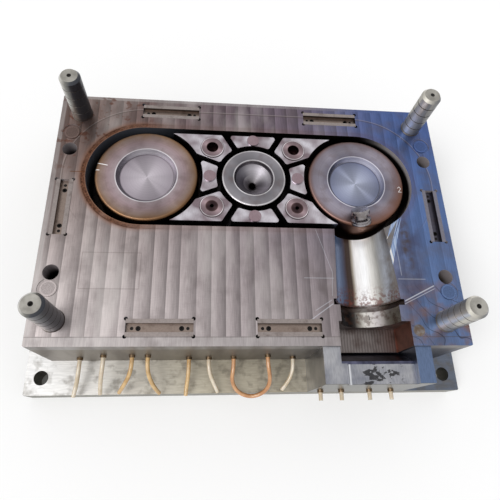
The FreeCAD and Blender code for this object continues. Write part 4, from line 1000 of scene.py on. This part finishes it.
def turned_face(name, centre, stops, shine, reach, marks=1.2 * MM, fan=(0.8, -0.6), depth=0.5, wall=None,
                edge=None, stain=None, scratches=()):
    """Turned steel about an upright line: colour by distance from it, fine rings and painted fan highlights.

    The fan is the way in which the two opposed painted highlights lie, as x and y, and depth their contrast.
    The stops paint light too: thin bright rims are painted highlights, dark holes and walls painted shade.
    The wall is a recess wall's share of the reach, with painted shade on its left, the edge a rust colour,
    all round or only on the stain's side, and scratches are straight scribed lines.
    """
    material, tree, shader, place = begin(name, 1.0, shine)
    offset = add(tree, "VectorMath", {0: place, 1: (centre.x, centre.y, 0)}, operation="SUBTRACT").outputs[0]
    flat, away = from_above(tree, offset)
    unit = add(tree, "VectorMath", {0: flat}, operation="NORMALIZE").outputs[0]

    def towards(way):
        """How far a place lies on one side of the middle: -1 on the far side, 1 straight towards it."""
        return add(tree, "VectorMath", {0: unit, 1: (*way, 0)}, operation="DOT_PRODUCT").outputs["Value"]

    share = add(tree, "Math", {0: away, 1: reach}, operation="DIVIDE").outputs[0]
    steel = add(tree, "ValToRGB", {"Fac": share}, stops=stops).outputs[0]
    # painted highlight: two opposed fans of light, by the angle round the middle
    turn = add(tree, "Math", {0: towards(fan)}, operation="ABSOLUTE").outputs[0]
    sheen = add(tree, "ValToRGB", {"Fac": turn}, stops=FAN_SHEEN).outputs[0]
    steel = lay(tree, steel, sheen, depth, blend="MULTIPLY")
    rings = blotches(tree, add(tree, "CombineXYZ", {"X": away}).outputs[0], marks, 0.3, 0.7, 2.0)
    steel = marked(tree, steel, rings, 0.82, 1.14, 0.75)
    handled = blotches(tree, place, 22 * MM, 0.48, 0.70, 7.0)
    steel = lay(tree, steel, "5f4f4d", 0.38, handled, band(tree, share, 0.60, None, 0.02))
    # painted shade on the left side of a recess wall
    if wall:
        steel = lay(tree, steel, "34323c", 0.75, band(tree, towards(WALL_SHADE), 0.15, None, 0.9),
                    band(tree, share, *wall, 0.012))
    if edge:
        side = 1.0
        if stain:
            side = band(tree, towards(stain), 0.45, None, 0.7)
            steel = lay(tree, steel, edge, 0.55, side, band(tree, share, 0.78, None, 0.25))
        patches = blotches(tree, place, 30 * MM, 0.40, 0.66, 6.0)
        steel = lay(tree, steel, edge, 0.5, side, patches, band(tree, share, 0.84, None, 0.24))
        steel = lay(tree, steel, edge, 0.45 if stain else 0.7, band(tree, share, 0.965, None, 0.04))
    for start, end, width in scratches:
        steel = lay(tree, steel, "ebe9ea", 0.85, scribe(tree, place, start, end, width))
    tree.links.new(steel, shader.inputs["Base Color"])
    shader.inputs["Anisotropic"].default_value = 0.75
    way_round = add(tree, "VectorMath", {0: (0, 0, 1), 1: unit}, operation="CROSS_PRODUCT").outputs[0]
    tree.links.new(way_round, shader.inputs["Tangent"])
    relief = add(tree, "Bump", {"Height": rings, "Strength": 1.0, "Distance": 0.02 * MM}).outputs[0]
    tree.links.new(relief, shader.inputs["Normal"])
    return material


print("a fan of light has", len(FAN_SHEEN), "steps")

# %% [markdown]
# ### Discs, gate and cores
# The two discs have the same steps, but the left one has browned, and the right one is
# blue, a painted reflection of the sky, with rust only on its front right. The fitter
# scribed a plain 2 on the right disc and two short lines on the left one. The gate
# insert and the four cores in the corners are smaller and were turned more finely.

# %% Dress the turned inserts
DISC_REACH, GATE_REACH, CORE_REACH = 103.5 * MM, 66 * MM, 24.5 * MM
DISC_WALL = (0.52, 0.59)
# painted light in these ramps: thin bright steps are highlights on rims and edges; the dark step at a disc's
# wall and the dark middles of the gate and cores are painted shade
LEFT_DISC = [(0.0, "b8b1b8"), (0.50, "978f97"), (0.525, "6a6168"), (0.535, "d0ccd2"), (0.58, "b0abb1"),
             (0.595, "dad6da"), (0.61, "998c90"), (0.74, "917f82"), (0.88, "85736b"), (0.95, "765c46"),
             (1.0, "4b3828")]
# painted sky reflection: the right disc's bluer steps
RIGHT_DISC = [(0.0, "a6abbd"), (0.50, "787d94"), (0.525, "4f505e"), (0.535, "c6c6d4"), (0.58, "9a9aab"),
              (0.595, "d6d4de"), (0.61, "787482"), (0.74, "89848f"), (0.88, "817a84"), (0.95, "705c5a"),
              (1.0, "3f3234")]
GATE = [(0.0, "1a1818"), (0.10, "26221f"), (0.13, "6f6b6e"), (0.45, "a19da3"), (0.55, "8c888d"),
        (0.60, "4a4647"), (0.625, "dcd9dc"), (0.66, "727075"), (0.93, "858287"), (0.97, "cfcccf"),
        (1.0, "6c6568")]
CORE = [(0.0, "2a2022"), (0.40, "3a2c2e"), (0.49, "52403f"), (0.53, "8a777b"), (0.90, "7d6d72"),
        (0.925, "e4e0e3"), (0.965, "8a7d82"), (1.0, "2f2729")]
LINES = [((-0.316, 0.102), (-0.295, 0.098), 0.0016), ((-0.326, 0.087), (-0.310, 0.086), 0.0016)]
TWO = [((0.305, 0.066), (0.309, 0.0695), 0.0012), ((0.309, 0.0695), (0.312, 0.065), 0.0012),
       ((0.312, 0.065), (0.306, 0.057), 0.0012), ((0.306, 0.057), (0.313, 0.057), 0.0012)]

for side, stops, look in (
        ("left", LEFT_DISC, {"depth": 0.75, "edge": "6a4c33", "scratches": LINES}),
        ("right", RIGHT_DISC, {"depth": 0.85, "edge": "6e4a38", "stain": (0.70, -0.71), "scratches": TWO})):
    finish = turned_face("turned_%s_disc_steel" % side, centre_of(side + "_disc"), stops, 0.38, DISC_REACH,
                         fan=(0.75, 0.66), wall=DISC_WALL, **look)
    dressed_copy(side + "_disc", side + "_disc_steel", finish)
gate_finish = turned_face("turned_gate_steel", centre_of("gate_insert"), GATE, 0.32, GATE_REACH, 0.9 * MM,
                          fan=(0.55, 0.83), depth=0.7, wall=(0.30, 0.61))
dressed_copy("gate_insert", "gate_steel", gate_finish)
for i in range(1, 5):
    node = "corner_pin_%d" % i
    finish = turned_face("turned_core_steel_%d" % i, centre_of(node), CORE, 0.42, CORE_REACH, 0.7 * MM)
    dressed_copy(node, "core_pin_steel", finish)
print("discs, gate and cores are dressed")

# %% [markdown]
# ## Islands and the turned pin
# The ribs of the fitting form in the slots between eight islands. Their tops were
# polished by hand, so they are slightly wavy and mirror in soft pinkish patches, their
# edges are a little rounded and bright, and the slots fall into darkness, a painted shade.

# %% Hand-polished islands
ISLAND_TOP = PARTING - 0.5 * MM
ISLAND_BEVEL = 0.5 * MM


def island_steel():
    """Islands: hand-polished tops with pinkish patches, bright on their edges, painted shade down the slots.
    """
    material, tree, shader, place = begin("polished_island_steel", 1.0, 0.30)
    z = add(tree, "SeparateXYZ", {"Vector": place}).outputs["Z"]
    steel = lay(tree, "c6c2c9", "7d6f75", blotches(tree, place, 30 * MM, 0.34, 0.66, 1.0))
    steel = lay(tree, steel, "8a757b", 0.9, band(tree, z, ISLAND_TOP + 2.2 * MM, None, 0.6 * MM))
    # painted shade: darker and then black down the slots
    steel = lay(tree, steel, "2b2728", 0.85, band(tree, z, None, ISLAND_TOP - 4 * MM, 6 * MM))
    steel = lay(tree, steel, "0f0e0e", 0.9, band(tree, z, None, ISLAND_TOP - 20 * MM, 20 * MM))
    steel = brushed(tree, steel, place, 2 * MM, (1, 0.4, 1), 0.86, 1.10, 0.6)
    tree.links.new(steel, shader.inputs["Base Color"])
    waves = blotches(tree, place, 20 * MM, 0.3, 0.7, 1.0)
    relief = add(tree, "Bump", {"Height": waves, "Strength": 1.0, "Distance": 0.6 * MM}).outputs[0]
    tree.links.new(relief, shader.inputs["Normal"])
    return material


dressed_copy("rib_block", "island_steel", island_steel(), bevel=ISLAND_BEVEL)
tip_finish = worn_steel("turned_core_tip_steel", "a3a0a4", "7a7473", 0.25, 30 * MM)
dressed_copy("turned_pin", "turned_steel", tip_finish)
print("islands and turned pin are dressed")

# %% [markdown]
# ## Leader pins
# The pins guide the two halves together. They are hardened and ground, with oil grooves
# round them, a dark centre hole on top, and a film of old grease that makes them matt.
# In so plain a room a mirror-like pin looks flat, so a ramp across each pin, from its
# lit side to its dark side, draws the round shading that a workshop would give it.

# %% Ground pins with oil grooves
PIN_RADIUS = 20 * MM
PIN_LIGHT = (-0.94, 0.34)
GROOVE_PITCH = 21 * MM
GROOVE_SHARE = 0.095
GROOVES = (0.9, 4.3)
PIN_CAP = PARTING + 108 * MM
CENTRE_HOLE = 4.2 * MM
LEFT_SHADES = [(0.0, "34363c"), (0.28, "45474c"), (0.50, "75746f"), (0.72, "b4b2ac"), (0.90, "c4c2bd"),
               (1.0, "84827e")]
RIGHT_SHADES = [(0.0, "55585f"), (0.25, "7f7e7c"), (0.50, "b7b3aa"), (0.80, "d6d2c8"), (1.0, "98958d")]


def pin_steel(name, centre, stops):
    """Leader pin: ground steel, matt with old grease, lit from one side and dark on the other.

    The share 0..1 runs across the pin the way the light comes, so the ramp is its round shading.
    """
    material, tree, shader, place = begin(name, 0.7, 0.32)
    offset = add(tree, "VectorMath", {0: place, 1: (centre.x, centre.y, 0)}, operation="SUBTRACT").outputs[0]
    flat, away = from_above(tree, offset)
    facing = add(tree, "VectorMath", {0: flat, 1: (*PIN_LIGHT, 0)}, operation="DOT_PRODUCT").outputs["Value"]
    across = add(tree, "MapRange", {"Value": facing, "From Min": -PIN_RADIUS,
                                    "From Max": PIN_RADIUS}).outputs[0]
    steel = add(tree, "ValToRGB", {"Fac": across}, stops=stops).outputs[0]
    steel = brushed(tree, steel, place, 1.6 * MM, (1, 1, 0.15), 0.86, 1.10, 0.6)
    z = add(tree, "SeparateXYZ", {"Vector": place}).outputs["Z"]
    rise = add(tree, "MapRange", {"Value": z, "From Min": PARTING, "From Max": PARTING + GROOVE_PITCH},
               clamp=False).outputs[0]
    step = add(tree, "Math", {0: rise}, operation="FRACT").outputs[0]
    steel = lay(tree, steel, "2d2723", 0.9, band(tree, step, None, GROOVE_SHARE, 0.03),
                band(tree, rise, *GROOVES, 0.02))
    steel = lay(tree, steel, "4b3e36", 0.6, band(tree, z, None, PARTING + 4 * MM, 4 * MM))
    grease = lay(tree, "a9a69f", "85827c", blotches(tree, place, 20 * MM, 0.35, 0.65, 4.0))
    steel = lay(tree, steel, grease, band(tree, z, PIN_CAP, None, 0.3 * MM))
    steel = lay(tree, steel, "141210", band(tree, away, None, CENTRE_HOLE, 0.8 * MM))
    tree.links.new(steel, shader.inputs["Base Color"])
    return material


for i in range(1, 5):
    middle = centre_of("leader_pin_%d" % i)
    finish = pin_steel("ground_pin_steel_%d" % i, middle, LEFT_SHADES if middle.x < 0 else RIGHT_SHADES)
    dressed_copy("leader_pin_%d" % i, "pin_steel", finish)
print("leader pins are dressed")
